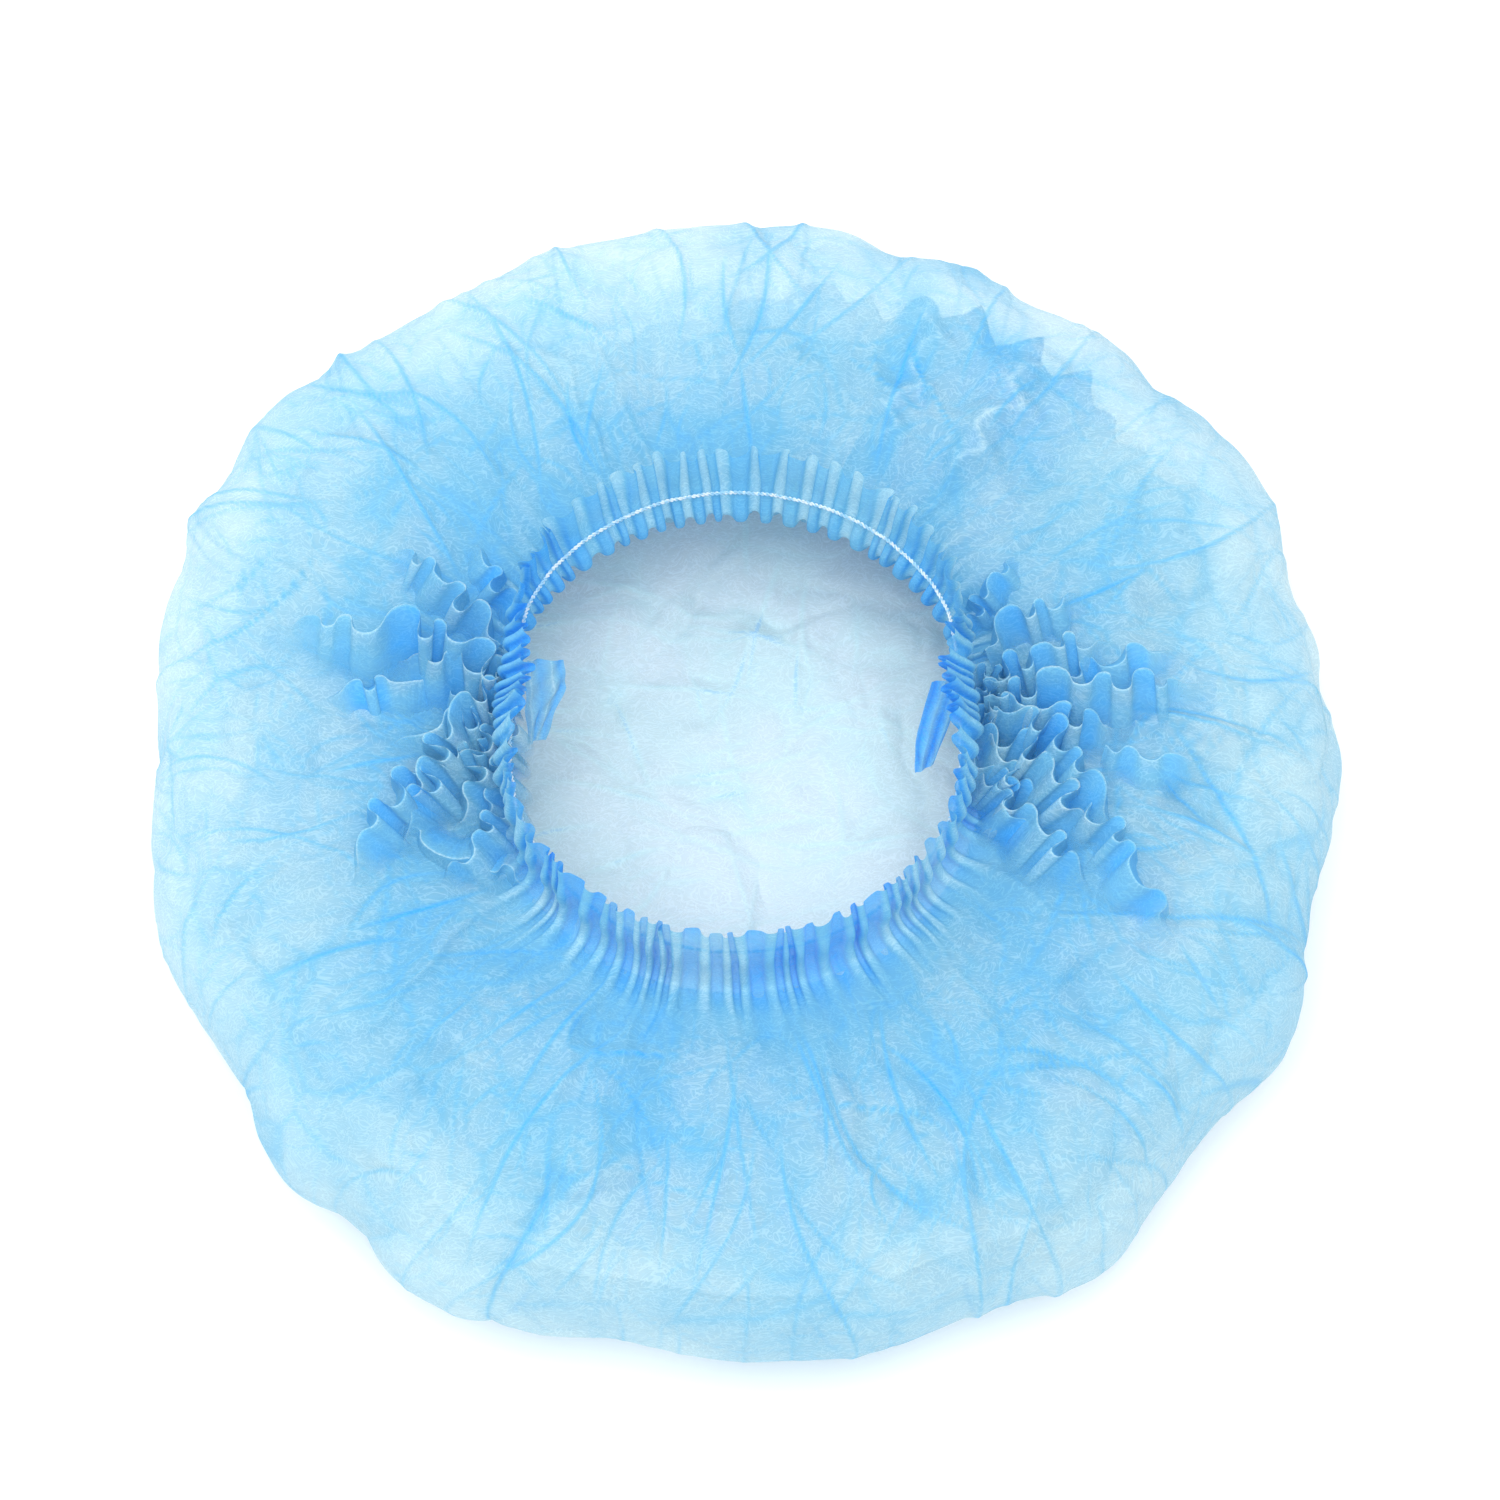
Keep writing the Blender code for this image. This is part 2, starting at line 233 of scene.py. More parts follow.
def cloudNoise(points, size, seed):
    # soft noise from 0 to 1: a sum of plane waves of about this size
    random = np.random.default_rng(seed)
    count = noiseSettings["waves"]
    total = np.zeros(points.shape[:-1])
    for octave in range(noiseSettings["octaves"]):
        waves = random.normal(size=(count, 3)) * noiseSettings["fineness"] * 2**octave / size
        phases = random.uniform(0, fullTurn, count)
        strength = 0.7 * count**0.5 * noiseSettings["fade"]**octave
        total += np.cos(points @ waves.T + phases).sum(axis=-1) / strength
    return np.clip(0.5 + noiseSettings["contrast"] * total, 0, 1)


def warped(points, size, amount, seed):
    shift = np.stack([cloudNoise(points, size, seed + axis) for axis in range(3)], axis=-1) - 0.5
    return points + shift * amount * 2


def softNoise(angle, waves, seed):
    # smooth closed noise round the cap, about -1 to 1
    random = np.random.default_rng(seed)
    total = np.zeros_like(angle)
    for order in range(1, waves + 1):
        total += random.normal() * np.cos(order * angle + random.uniform(0, fullTurn))
    return total / math.sqrt(waves)


# Gathers: uneven pleats that the elastic draws up, narrow where they point outwards

gatherSettings = {
    "count": 84,
    "unevenness": 0.50,
    "depths": (0.40, 1.3),
    "valleyDepth": 0.9,
    "narrowness": 1.3,
    "swagSharpness": 1.6,
    "level": 0.46,
    "hairpin": 0.9,
    "fineCrowding": 0.35,
    "pairCrowding": 0.2,
    "pairReach": (6, 20),
    "swagReach": (40, 110),
    "pairShare": 0.85,
    "swagShare": 1.3,
    "poleBoost": 0.6,
    "poleSpan": 24.0,
    "seed": 11,
}


def degreesApart(angle, other):
    return (angle - other + 180.0) % 360.0 - 180.0


def poleNearness(angle):
    degrees, span = np.degrees(angle), gatherSettings["poleSpan"]
    return sum(np.exp(-((degreesApart(degrees, pole) / span) ** 2)) for pole in poleAngles)


class GatherWave:
    # one family of pleats: where each one stands round the ring, how deep it is and how far out it runs
    def __init__(self, count, seed, reach=None, crowding=0.0, sharp=False):
        random = np.random.default_rng(seed)
        self.sharp = sharp
        widths = 1.0 + gatherSettings["unevenness"] * random.uniform(-1, 1, count)
        middles = np.arange(count) * fullTurn / count
        widths *= 1 - crowding * np.clip(poleNearness(middles), 0, 1)
        self.edges = np.concatenate([[0.0], np.cumsum(widths)]) / widths.sum() * fullTurn
        self.depths = random.uniform(*gatherSettings["depths"], count)
        self.reaches = random.uniform(*reach, count) * mm if reach else None
        self.count = count

    def at(self, angle, out):
        phase = np.interp(angle % fullTurn, self.edges, np.arange(self.count + 1) * fullTurn)
        nearest = np.round(phase / fullTurn).astype(int) % self.count
        if self.sharp:
            apart = np.sqrt((phase - np.round(phase / fullTurn) * fullTurn) ** 2 + 0.02) - 0.14
            peak = np.exp(-gatherSettings["swagSharpness"] * apart) + 0.1
        else:
            peak = ((1 + np.cos(phase)) / 2) ** gatherSettings["narrowness"]
        valley = 0.5 - 0.5 * np.cos(phase)  # each pleat's own depth fades out in the valleys
        depth = self.depths[nearest] * (1 - valley) + gatherSettings["valleyDepth"] * valley
        if self.reaches is not None:
            depth = depth * np.exp(-((out / self.reaches[nearest]) ** 2))
        return depth * (peak - gatherSettings["level"]), depth * np.sin(2 * phase)


def overlapTone(angle, out, count, seed, reach):
    # pleats that lie over each other: each is darkest at its own edge and fades to the next one
    random = np.random.default_rng(seed)
    edges = np.concatenate([[0.0], np.cumsum(random.uniform(0.4, 1.6, count))])
    phase = np.interp(angle % fullTurn, edges / edges[-1] * fullTurn, np.arange(count + 1))
    cell = np.floor(phase).astype(int) % count
    share = phase - np.floor(phase)
    share = np.where(random.uniform(size=count)[cell] > 0.5, share, 1 - share)
    strength = random.uniform(0.2, 1.0, count)[cell]
    length = random.uniform(*reach, count)[cell] * mm
    return strength * (1 - share) ** 1.5 * np.clip(1.3 - out / length, 0, 1)


# Creases: short folds with one sharp line each, mostly running out from the opening

creaseSettings = {
    "sharpness": 1.6,
    "lineWidth": 0.55,
    "lean": 0.45,
    "leans": (0.3, 0.8),
    "bow": 0.12,
    "sunkenShare": 0.35,
    "fromOpening": 10,
    "fromRim": 4,
}

randomCreases = table("count length height width spread start seed", (
    (70, (22, 75), (0.8, 2.4), (3.0, 8.5), 32, (0.04, 0.75), 61),
    (110, (18, 60), (0.25, 0.7), (1.2, 3.0), 55, (0.10, 1.0), 63),
    (240, (7, 24), (0.15, 0.5), (1.0, 2.4), 80, (0.02, 1.0), 62),
))

namedCreases = table("start end bow height width", (
    ((-74, -88), (-24, -40), -3, 2.4, 6), ((-61, -107), (-18, -45), 4, 2.2, 5),
    ((-47, -83), (-13, -83), -2, 2.6, 3), ((-26, -80), (-3, -50), 2, 1.8, 4),
    ((12, -36), (24, -65), -4, 2.0, 5), ((6, -103), (50, -106), 6, 2.2, 7),
    ((-48, -105), (-49, -130), 0, 1.4, 4), ((-20, -100), (-22, -140), 1, 1.4, 4),
    ((-6, 136), (-1, 102), -3, 2.0, 5), ((24, 136), (-4, 100), 2, 2.2, 5),
    ((-3, 106), (1, 77), 0, 1.6, 4), ((-62, 124), (-32, 106), 2, 1.6, 5),
    ((92, -20), (128, -34), 3, 2.0, 4), ((88, -62), (122, -92), -3, 2.0, 5),
    ((-96, -20), (-132, -30), 3, 1.6, 5), ((-80, 70), (-116, 86), -3, 1.8, 5),
))


def drawCrease(height, line, plan, crease):
    start, end = np.array(crease["start"]) * mm, np.array(crease["end"]) * mm
    length = np.linalg.norm(end - start)
    forward = (end - start) / length
    offset = plan - start
    along = offset @ forward / length
    aside = offset @ np.array([-forward[1], forward[0]])
    inside = (along > 0) & (along < 1) & (np.abs(aside) < (3 * crease["width"] + abs(crease["bow"])) * mm)
    along, aside = along[inside], aside[inside]
    aside = aside / mm - crease["bow"] * 4 * along * (1 - along)
    taper = np.sin(math.pi * along) ** 0.7
    width = np.where(aside > 0, crease["width"], crease["width"] * crease.get("lean", creaseSettings["lean"]))
    sharp = np.sqrt(aside**2 + 0.16) - 0.4
    height[inside] += crease["height"] * mm * taper * np.exp(-creaseSettings["sharpness"] * sharp / width)
    tone = taper * np.exp(-((aside / crease.get("line", creaseSettings["lineWidth"])) ** 2))
    line[inside] = np.maximum(line[inside], tone * min(1.0, 0.4 + abs(crease["height"]) / 2.5))


def drawCreases(plan):
    height, line = np.zeros(plan.shape[:-1]), np.zeros(plan.shape[:-1])
    for crease in namedCreases:
        drawCrease(height, line, plan, crease)
    sunken = creaseSettings["sunkenShare"]
    for kind in randomCreases:
        random = np.random.default_rng(kind["seed"])
        for _ in range(kind["count"]):
            angle = random.uniform(0, fullTurn)
            share = random.uniform(*kind["start"])
            inner = float(ringRadius(np.array([angle]))[0]) / mm + creaseSettings["fromOpening"]
            outer = float(outlineRadius(np.array([angle]))[0]) / mm - creaseSettings["fromRim"]
            radius = inner + share * (outer - inner)
            turn = angle + math.radians(random.normal() * kind["spread"])
            length = random.uniform(*kind["length"])
            start = np.array([math.cos(angle), math.sin(angle)]) * radius
            crease = dict(start=start, end=start + np.array([math.cos(turn), math.sin(turn)]) * length)
            crease["bow"] = random.normal() * length * creaseSettings["bow"]
            crease["lean"] = random.uniform(*creaseSettings["leans"])
            direction = random.choice([-1, 1], p=[sunken, 1 - sunken])
            crease["height"] = direction * random.uniform(*kind["height"])
            crease["width"] = random.uniform(*kind["width"])
            drawCrease(height, line, plan, crease)
    return height, line


# Folds: the standing pleats at the poles and the dents of the outline, as in the solid crown

standingFolds = table("angle bend start end ahead behind height wander waves", (
    (52, 56, 0.25, 0.95, 5, 4, 4.4, 1.4, 4.0),
    (66, 68, 0.25, 0.9, 4, 3, 3.3, 1.2, 4.0),
    (186, 181, 0.5, 0.95, 7, 6, -4.2, 0.8, 2.0),
    (352, 345, 0.52, 1.02, 6, 5, -4.8, 0.8, 2.0),
    (19, 19, 0.5, 1.02, 4, 4, -4.8, 0.6, 2.0),
    (44, 44, 0.35, 1.02, 4, 4, -3.6, 0.6, 2.0),
    (74, 74, 0.35, 1.02, 4, 4, -3.0, 0.6, 2.0),
    (101, 103, 0.25, 1.02, 5, 6, -3.6, 0.8, 2.0),
    (125, 122, 0.25, 1.02, 6, 7, -3.6, 0.8, 2.0),
    (230, 230, 0.5, 1.02, 5, 6, -4.8, 0.8, 2.0),
    (258, 260, 0.25, 1.02, 6, 5, -3.0, 0.8, 2.0),
    (286, 289, 0.2, 1.02, 5, 6, -3.0, 0.8, 2.0),
    (320, 321, 0.45, 1.02, 5, 6, -4.8, 0.8, 2.0),
))


def foldHeight(angle, out):
    degrees = np.degrees(angle)
    shape = np.broadcast(degrees, out).shape
    total, crestHighlightLine = np.zeros(shape), np.zeros(shape)
    for order, fold in enumerate(standingFolds):
        along = np.clip((out - fold["start"]) / (fold["end"] - fold["start"]), 0.0, 1.0)
        crest = fold["angle"] + degreesApart(fold["bend"], fold["angle"]) * along
        turn = fullTurn * fold["waves"] * along + 1.7 * order
        wobble = np.sin(turn) + 0.35 * np.sin(2 * turn + 1) + 0.3 * np.sin(0.37 * turn)
        crest = crest + fold["wander"] * wobble
        apart = degreesApart(degrees, crest)
        width = np.where(apart > 0, fold["ahead"], fold["behind"])
        if fold["height"] < 0:
            profile = np.exp(-1.5 * (np.sqrt((apart / width) ** 2 + 0.01) - 0.1))
        else:
            sharp = np.sqrt((apart / width) ** 2 + 0.003) - 0.055
            profile = np.clip(1.06 - sharp, 0, None)
            profile = np.clip(profile**2 / (profile + 0.12), 0, 1)
        swell = np.clip(np.sin(math.pi * np.minimum(along * 2.2, 0.5 + along / 2)), 0, 1) ** 0.7
        swell = swell * ((out > fold["start"]) & (out <= fold["end"]))
        if fold["height"] > 0:
            total = np.maximum(total, fold["height"] * mm * profile * swell)
            # painted highlight: a thin lighter line along the top of each standing fold
            crestHighlightLine = np.maximum(crestHighlightLine, swell * np.exp(-((apart / 0.55) ** 2)))
        else:
            total = total + fold["height"] * mm * profile * swell
    return total, crestHighlightLine


# Crumple: facets that bulge between sharp creases, as thin stiff cloth sets when it is squashed

def facets(points, seeds, cell, tilt, random):
    # one facet round each seed: the height of the points, and how far each is from a crease
    slopes = random.normal(size=seeds.shape) * tilt + seeds / cell
    bias = (slopes * seeds).sum(axis=1) - (seeds**2).sum(axis=1) / (2 * cell)
    height, crease = np.empty(len(points)), np.empty(len(points))
    chunk = 20000
    for start in range(0, len(points), chunk):
        part = points[start:start + chunk]
        values = part @ slopes.T - bias
        top = np.partition(values, -2, axis=1)[:, -2:]
        height[start:start + chunk] = top[:, 1] - (part**2).sum(axis=1) / (2 * cell)
        crease[start:start + chunk] = top[:, 1] - top[:, 0]
    return height / cell, crease / cell


def facetSeed(seed, cell):
    return seed + int(cell * 1e5)


def crumpleField(points, cell, tilt, seed):
    # facets round seeds that are picked from the points themselves
    random = np.random.default_rng(facetSeed(seed, cell))
    low, high = points.min(axis=0), points.max(axis=0)
    ringLength = fullTurn * np.hypot(points[:, 0], points[:, 1]).max()
    seedCount = int(ringLength * (high[2] - low[2]) / cell**2) + 8
    seeds = points[random.integers(0, len(points), seedCount)]
    return facets(points, seeds, cell, tilt, random)


# The cloth, row by row. ring and outline are shares of those plan radii, height a share of the
# elastic's height, lean and rise shares of the hem's lean and height; the rest is in millimetres.

clothSettings = {
    "columns": 1240,
    "neckOffset": 2.6 * mm,
    "hemLean": 1.8 * mm,
    "hemDepth": 16 * mm,
    "poleTuck": 9.0 * mm,
    "nearTuck": 1.8 * mm,
    "nearUpright": 0.45,
    "hemWaves": 80,
    "hemUneven": 1.2 * mm,
    "hemRagged": 0.9 * mm,
    "lowest": 0.25 * mm,
    "embedRadius": 0.11,
    "embedWarp": 5 * mm,
    "driftSize": 40 * mm,
    "driftReach": 60 * mm,
    "drift": 0.12,
    "jostleSize": 16 * mm,
    "jostleReach": 12 * mm,
    "jostle": 0.05,
    "seed": 5,
}

crumpleSizes = table("cell tilt share", ((24 * mm, 0.30, 0.75), (11 * mm, 0.35, 0.5)))

toneSettings = {
    "pocketShade": 0.30,
    "nearPocketShade": 0.16,
    "pocketDepth": 1.6 * mm,
    "pocketBlur": (16, 8),
    "steepWallShade": 0.34,
    "bunchedAndNearShade": 0.50,
    "closeReach": 24 * mm,
    "wideReach": 62 * mm,
    "overlap": 0.20,
    "crestHeight": 0.25 * mm,
    "crestBlur": (3, 2),
    "most": 1.3,
    "facetCrease": 0.6,
    "facetSharpness": 40,
    "cloudSize": 30 * mm,
}

overlapKinds = table("count reach", ((30, (35, 90)), (17, (60, 130))))

upperSections = table("rows ring outline height lean rise gather pairs swags folds crumple", (
    (0, 0.0, 0.85, 0.05, 0, 0, 0, 0, 0, 0.0, 1.0),
    (12, 0.0, 0.965, 0.21, 0, 0, 0, 0, 0.4, 0.0, 3.0),
    (11, 0.0, 1.0, 0.44, 0, 0, 0, 0, 0.7, 0.1, 4.0),
    (11, 0.03, 0.97, 0.67, 0, 0, 0, 0.2, 1.0, 0.4, 4.6),
    (12, 0.13, 0.87, 0.81, 0, 0, 0.0, 0.3, 1.8, 0.8, 5.8),
    (15, 0.31, 0.69, 0.87, 0, 0, 0.1, 0.7, 2.2, 1.0, 5.4),
    (15, 0.52, 0.48, 0.885, 0, 0, 0.0, 1.0, 2.0, 1.0, 4.2),
    (15, 0.72, 0.28, 0.855, 0, 0, 0.15, 1.5, 1.4, 1.0, 2.5),
    (12, 0.88, 0.12, 0.79, 0, 0, 0.7, 1.4, 0.5, 0.7, 1.0),
    (7, 0.97, 0.03, 0.765, -0.6, 0, 2.5, 0.9, 0, 0.3, 0.4),
    (7, 1.0, 0.0, 0.85, -1.4, 0, 3.0, 0.3, 0, 0.1, 0.2),
    (8, 1.0, 0.0, 1.0, 0, 0, 2.8, 0, 0, 0, 0.1),
    (6, 1.0, 0.0, 1.0, 0.4, 0.5, 3.1, 0.5, 0, 0, 0.2),
    (7, 1.0, 0.0, 1.0, 1.0, 1.0, 3.7, 1.2, 0.5, 0, 0.3),
))


def column(sections, key):
    return np.array([float(section[key]) for section in sections])


def plainGrid(sections, angle, reach=None):
    reach = np.zeros_like(angle) if reach is None else reach
    alongX, alongY = np.cos(angle), np.sin(angle)
    ringReach = ringRadius(angle) + clothSettings["neckOffset"]
    tucked = clothSettings["poleTuck"] * poleNearness(angle)
    tucked = tucked + clothSettings["nearTuck"] * np.clip(-1.5 * alongY, 0, 1)
    layers = []
    for section in sections:
        moved = section.get("reach", 0.0) * reach
        radius = (section["outline"] + moved) * outlineRadius(angle)
        radius = radius + section["lean"] * clothSettings["hemLean"] * (1 + alongY)
        radius = radius - section["rise"] * tucked
        share = section["ring"] - moved
        layers.append(np.stack([
            share * (ringCentre[0] + ringReach * alongX) + radius * alongX,
            share * (ringCentre[1] + ringReach * alongY) + radius * alongY,
            np.full_like(angle, section["height"] * ringHeight + section["rise"] * hemHeight),
        ], axis=-1))
    return throughSections(column(sections, "rows"), np.array(layers))


def gathers(angle, out, weight, near, nearSide):
    # how far the pleats lift the cloth, in millimetres, and the sideways pull of the finest ones
    count, seed = gatherSettings["count"], gatherSettings["seed"]
    fineWave = GatherWave(count, seed, crowding=gatherSettings["fineCrowding"])
    pairWave = GatherWave(count // 2, seed + 1, gatherSettings["pairReach"], gatherSettings["pairCrowding"])
    swagWave = GatherWave(count // 4 + 4, seed + 2, gatherSettings["swagReach"], sharp=True)
    (fine, pull), (pairs, _), (swags, _) = (wave.at(angle, out) for wave in (fineWave, pairWave, swagWave))
    boost = 1 + gatherSettings["poleBoost"] * near * np.clip(weight("pairs") / 1.5, 0, 1)
    upright = 1 - clothSettings["nearUpright"] * nearSide * np.clip(2 * weight("rise"), 0, 1)
    lift = upright * weight("gather") * fine
    lift = lift + gatherSettings["pairShare"] * weight("pairs") * pairs * boost
    return lift + gatherSettings["swagShare"] * weight("swags") * swags, pull


def crumples(around, seed):
    embedded = warped(around, 0.035, clothSettings["embedWarp"], seed + 3).reshape(-1, 3)
    relief, creases = np.zeros(len(embedded)), np.zeros(len(embedded))
    for size in crumpleSizes:
        height, crease = crumpleField(embedded, size["cell"], size["tilt"], seed)
        relief += size["share"] * height
        creases = np.maximum(creases, size["share"] * np.exp(-crease * toneSettings["facetSharpness"]))
    shape = around.shape[:2]
    return relief.reshape(shape) - relief.mean(), creases.reshape(shape)


def overlaps(angle, around, out, seed):
    slanted = angle + 0.25 * (cloudNoise(around, 0.070, seed + 12) - 0.5)
    tones = [
        overlapTone(turned, out, kind["count"], seed + 13 + order, kind["reach"])
        for order, (turned, kind) in enumerate(zip((slanted, angle), overlapKinds))
    ]
    return sum(tones) * np.clip(out / (8 * mm), 0, 1)


# darker close to the ring, where the cloth bunches up, and at the poles; the extra darkness on the near side
# is painted shade
def bunchedToneAndNearShade(out, near, nearSide):
    close = np.exp(-out / toneSettings["closeReach"]) * (0.7 + 0.6 * np.clip(near, 0, 1) + 0.25 * nearSide)
    wide = np.exp(-((out / toneSettings["wideReach"]) ** 2)) * (0.16 + 0.08 * nearSide)
    return close + wide


def makeClothGrid(sections, columns, seed, reach=None):
    angle = np.arange(columns) * fullTurn / columns
    plain = plainGrid(sections, angle, None if reach is None else reach(angle))
    normals = surfaceNormals(plain)
    tangent = np.stack([-np.sin(angle), np.cos(angle), np.zeros_like(angle)], axis=-1)[None]

    def weight(key):
        return betweenSections(column(sections, "rows"), column(sections, key))

    near = poleNearness(angle)[None]
    nearSide = np.clip(-1.4 * np.sin(angle)[None], 0, 1)
    steps = np.linalg.norm(np.diff(plain, axis=0), axis=2).mean(axis=1)
    path = np.concatenate([[0.0], np.cumsum(steps)])[:, None]
    out = np.maximum((path[-1] - path) - clothSettings["hemDepth"], 0)
    radius = clothSettings["embedRadius"]
    ringPath = (radius * np.cos(angle)[None], radius * np.sin(angle)[None], path)
    around = np.stack(np.broadcast_arrays(*ringPath), axis=-1)

    drift = cloudNoise(around, clothSettings["driftSize"], seed + 1) - 0.5
    drift = drift * np.clip(out / clothSettings["driftReach"], 0, 1) * clothSettings["drift"]
    jostle = cloudNoise(around, clothSettings["jostleSize"], seed + 2) - 0.5
    jostle = clothSettings["jostle"] * near * jostle
    turned = angle[None] + (drift + jostle * np.clip(out / clothSettings["jostleReach"], 0, 1))
    lift, pull = gathers(turned, out, weight, near, nearSide)
    pinch = gatherSettings["hairpin"] / 2 / gatherSettings["count"] * pull
    pinch = pinch * np.linalg.norm(plain[..., :2] - ringCentre, axis=2)
    pinch = pinch * np.clip(weight("gather") / 3, 0, 1.1)
    crumple, facetCreaseShade = crumples(around, seed)
    creaseHeight, creaseLine = drawCreases(plain[..., :2])
    creaseShare = np.minimum(weight("crumple") / 5, 1)
    standing, standingCrestHighlight = foldHeight(angle[None], 1 - weight("ring"))
    standing = standing * weight("folds")
    relief = (lift + weight("crumple") * crumple) * mm + creaseShare * creaseHeight
    grid = plain + normals * relief[..., None] + tangent * pinch[..., None]
    grid[..., 2] += standing

    relief = relief + standing
    # painted shade: the steep walls of the folds get a darker, denser tone
    steepWallShade = 1 - np.abs((surfaceNormals(grid) * normals).sum(axis=2))
    bare = relief - weight("crumple") * crumple * mm - np.minimum(standing, 0)
    # painted shade: the valleys between the gathers get a darker, deeper blue, more so on the near side
    pocketShade = np.clip((softened(bare, *toneSettings["pocketBlur"]) - bare) / toneSettings["pocketDepth"], 0, 1)
    pocketShade = pocketShade * np.clip(0.30 + weight("gather") / 2.5, 0, 1)
    # painted highlight: the tops of ridges get a lighter tone (crest mask)
    crest = (relief - softened(relief, *toneSettings["crestBlur"])) / toneSettings["crestHeight"]
    crest = np.clip(crest, 0, toneSettings["most"])
    crest = crest * np.clip(weight("gather") / 2.5, 0.12, 1)
    # the bunching mask: partly cloth bunched and lying in layers, partly painted shade in valleys, on steep
    # walls and on the near side
    bunchingAndShade = (toneSettings["pocketShade"] + toneSettings["nearPocketShade"] * nearSide) * pocketShade
    bunchingAndShade = bunchingAndShade + toneSettings["steepWallShade"] * steepWallShade
    bunchingAndShade = bunchingAndShade + toneSettings["bunchedAndNearShade"] * bunchedToneAndNearShade(out, near, nearSide)
    bunchingAndShade = bunchingAndShade + toneSettings["overlap"] * overlaps(turned, around, out, seed)
    # the drawn crease lines and the valleys between the crumple facets get a darker tone: partly the cloth's
    # own crease lines, partly painted shade in the valleys
    crease = np.maximum(creaseLine, toneSettings["facetCrease"] * facetCreaseShade)
    return grid, {
        "bunchingAndShade": np.clip(bunchingAndShade, 0, toneSettings["most"]),
        "crest": np.maximum(crest, standingCrestHighlight * np.clip(weight("folds"), 0, 1)),
        "crease": crease * np.clip(creaseShare * 2, 0, 1),
        "cloud": cloudNoise(plain, toneSettings["cloudSize"], seed + 9),
    }


upperRows = column(upperSections, "rows")
upperGrid, upperLooks = makeClothGrid(upperSections, clothSettings["columns"], clothSettings["seed"])
upperAngle = np.arange(clothSettings["columns"]) * fullTurn / clothSettings["columns"]
hem = np.clip(betweenSections(upperRows, column(upperSections, "rise")), 0, 1)
uneven, ragged = (softNoise(upperAngle, clothSettings["hemWaves"], seed)[None] for seed in (21, 22))
upperGrid[..., 2] += hem * clothSettings["hemUneven"] * uneven
ragged = hem * clothSettings["hemRagged"] * ragged
upperGrid[..., 0] -= ragged * np.sin(upperAngle)[None]
upperGrid[..., 1] += ragged * np.cos(upperAngle)[None]
upperGrid[..., 2] = np.maximum(upperGrid[..., 2], clothSettings["lowest"])
upperNormals = surfaceNormals(upperGrid)
splitRow = int(upperRows[:6].sum())


def makeCrownPart(name, rows):
    looks = {key: values[rows] for key, values in upperLooks.items()}
    return meshFromGrids(name, [(upperGrid[rows], looks)], closed=True, normals=upperNormals[rows])


crownUpper = makeCrownPart("crown_cloth", slice(0, splitRow + 1))
crownGathers = makeCrownPart("crown_gathers", slice(splitRow, None))
print("upper cloth made:", len(crownUpper.data.polygons), "and", len(crownGathers.data.polygons), "quads")


# Ruffles: where the strip's pleats run together beside the poles they stand up as ribbons of
# cloth. Each follows its own line in plan, in millimetres, and its wall falls to one side.

ruffleSettings = {
    "alongStep": 0.42,
    "acrossPoints": 17,
    "nearRun": 1.4,
    "farRun": 2.0,
    "waveShare": 0.74,
    "swingShare": 1.55,
    "curl": 0.26,
    "edge": 1.35,
    "steepness": 1.1,
    "sink": 1.2,
    "tone": 0.42,
    "slopeShade": 0.31,
    "hollowShade": 0.20,
    "farTone": 0.12,
    "crest": 1.6,
    "crestWidth": 0.035,
}

leftRuffles = table("path height run swing wave seed", (
    (((-60, 15), (-75, 24), (-93, 25), (-122, 29)), 14, 8, 2.9, 15, 1),
    (((-62, 25), (-73, 37), (-84, 47), (-92, 50)), 9, 6, 2.3, 13, 2),
    (((-58, 33), (-64, 44), (-70, 54)), 6, 5, 1.8, 10, 3),
    (((-58, 11), (-70, 8), (-76, -3), (-81, -15), (-88, -30)), 12, 7, 2.6, 13, 4),
    (((-63, 5), (-67, -4), (-69, -15), (-73, -28)), 10, 6, 2.6, 11, 5),
    (((-58, 1), (-61, -7), (-64, -17), (-66, -26)), 8, 5, 2.0, 9, 6),
    (((-80, -8), (-87, -17), (-94, -29), (-97, -42)), 9, 7, 2.4, 15, 7),
    (((-84, -26), (-73, -34), (-62, -35), (-52, -40)), 5, 7, 1.6, 17, 8),
    (((-58, 12), (-61, 15), (-63, 12), (-66, 16)), 8, 3, 1.4, 4.5, 9),
    (((-57, 8), (-60, 9), (-62, 6), (-66, 8)), 8, 3, 1.4, 4.5, 10),
    (((-57, 18), (-60, 20), (-64, 19), (-68, 22)), 7, 3, 1.5, 5.5, 11),
    (((-72, 12), (-84, 14), (-97, 12), (-108, 8)), 4, 7, 1.6, 14, 12),
    (((-59, 14), (-67, 18), (-78, 18), (-90, 20)), 11, 7, 2.3, 12, 13),
    (((-60, 8), (-69, 4), (-78, 1), (-90, -4)), 9, 7, 2.4, 13, 14),
    (((-65, -2), (-74, -8), (-82, -19), (-86, -33)), 10, 7, 2.6, 13, 15),
    (((-60, -16), (-64, -24), (-70, -33), (-76, -40)), 8, 7, 2.2, 12, 16),
))

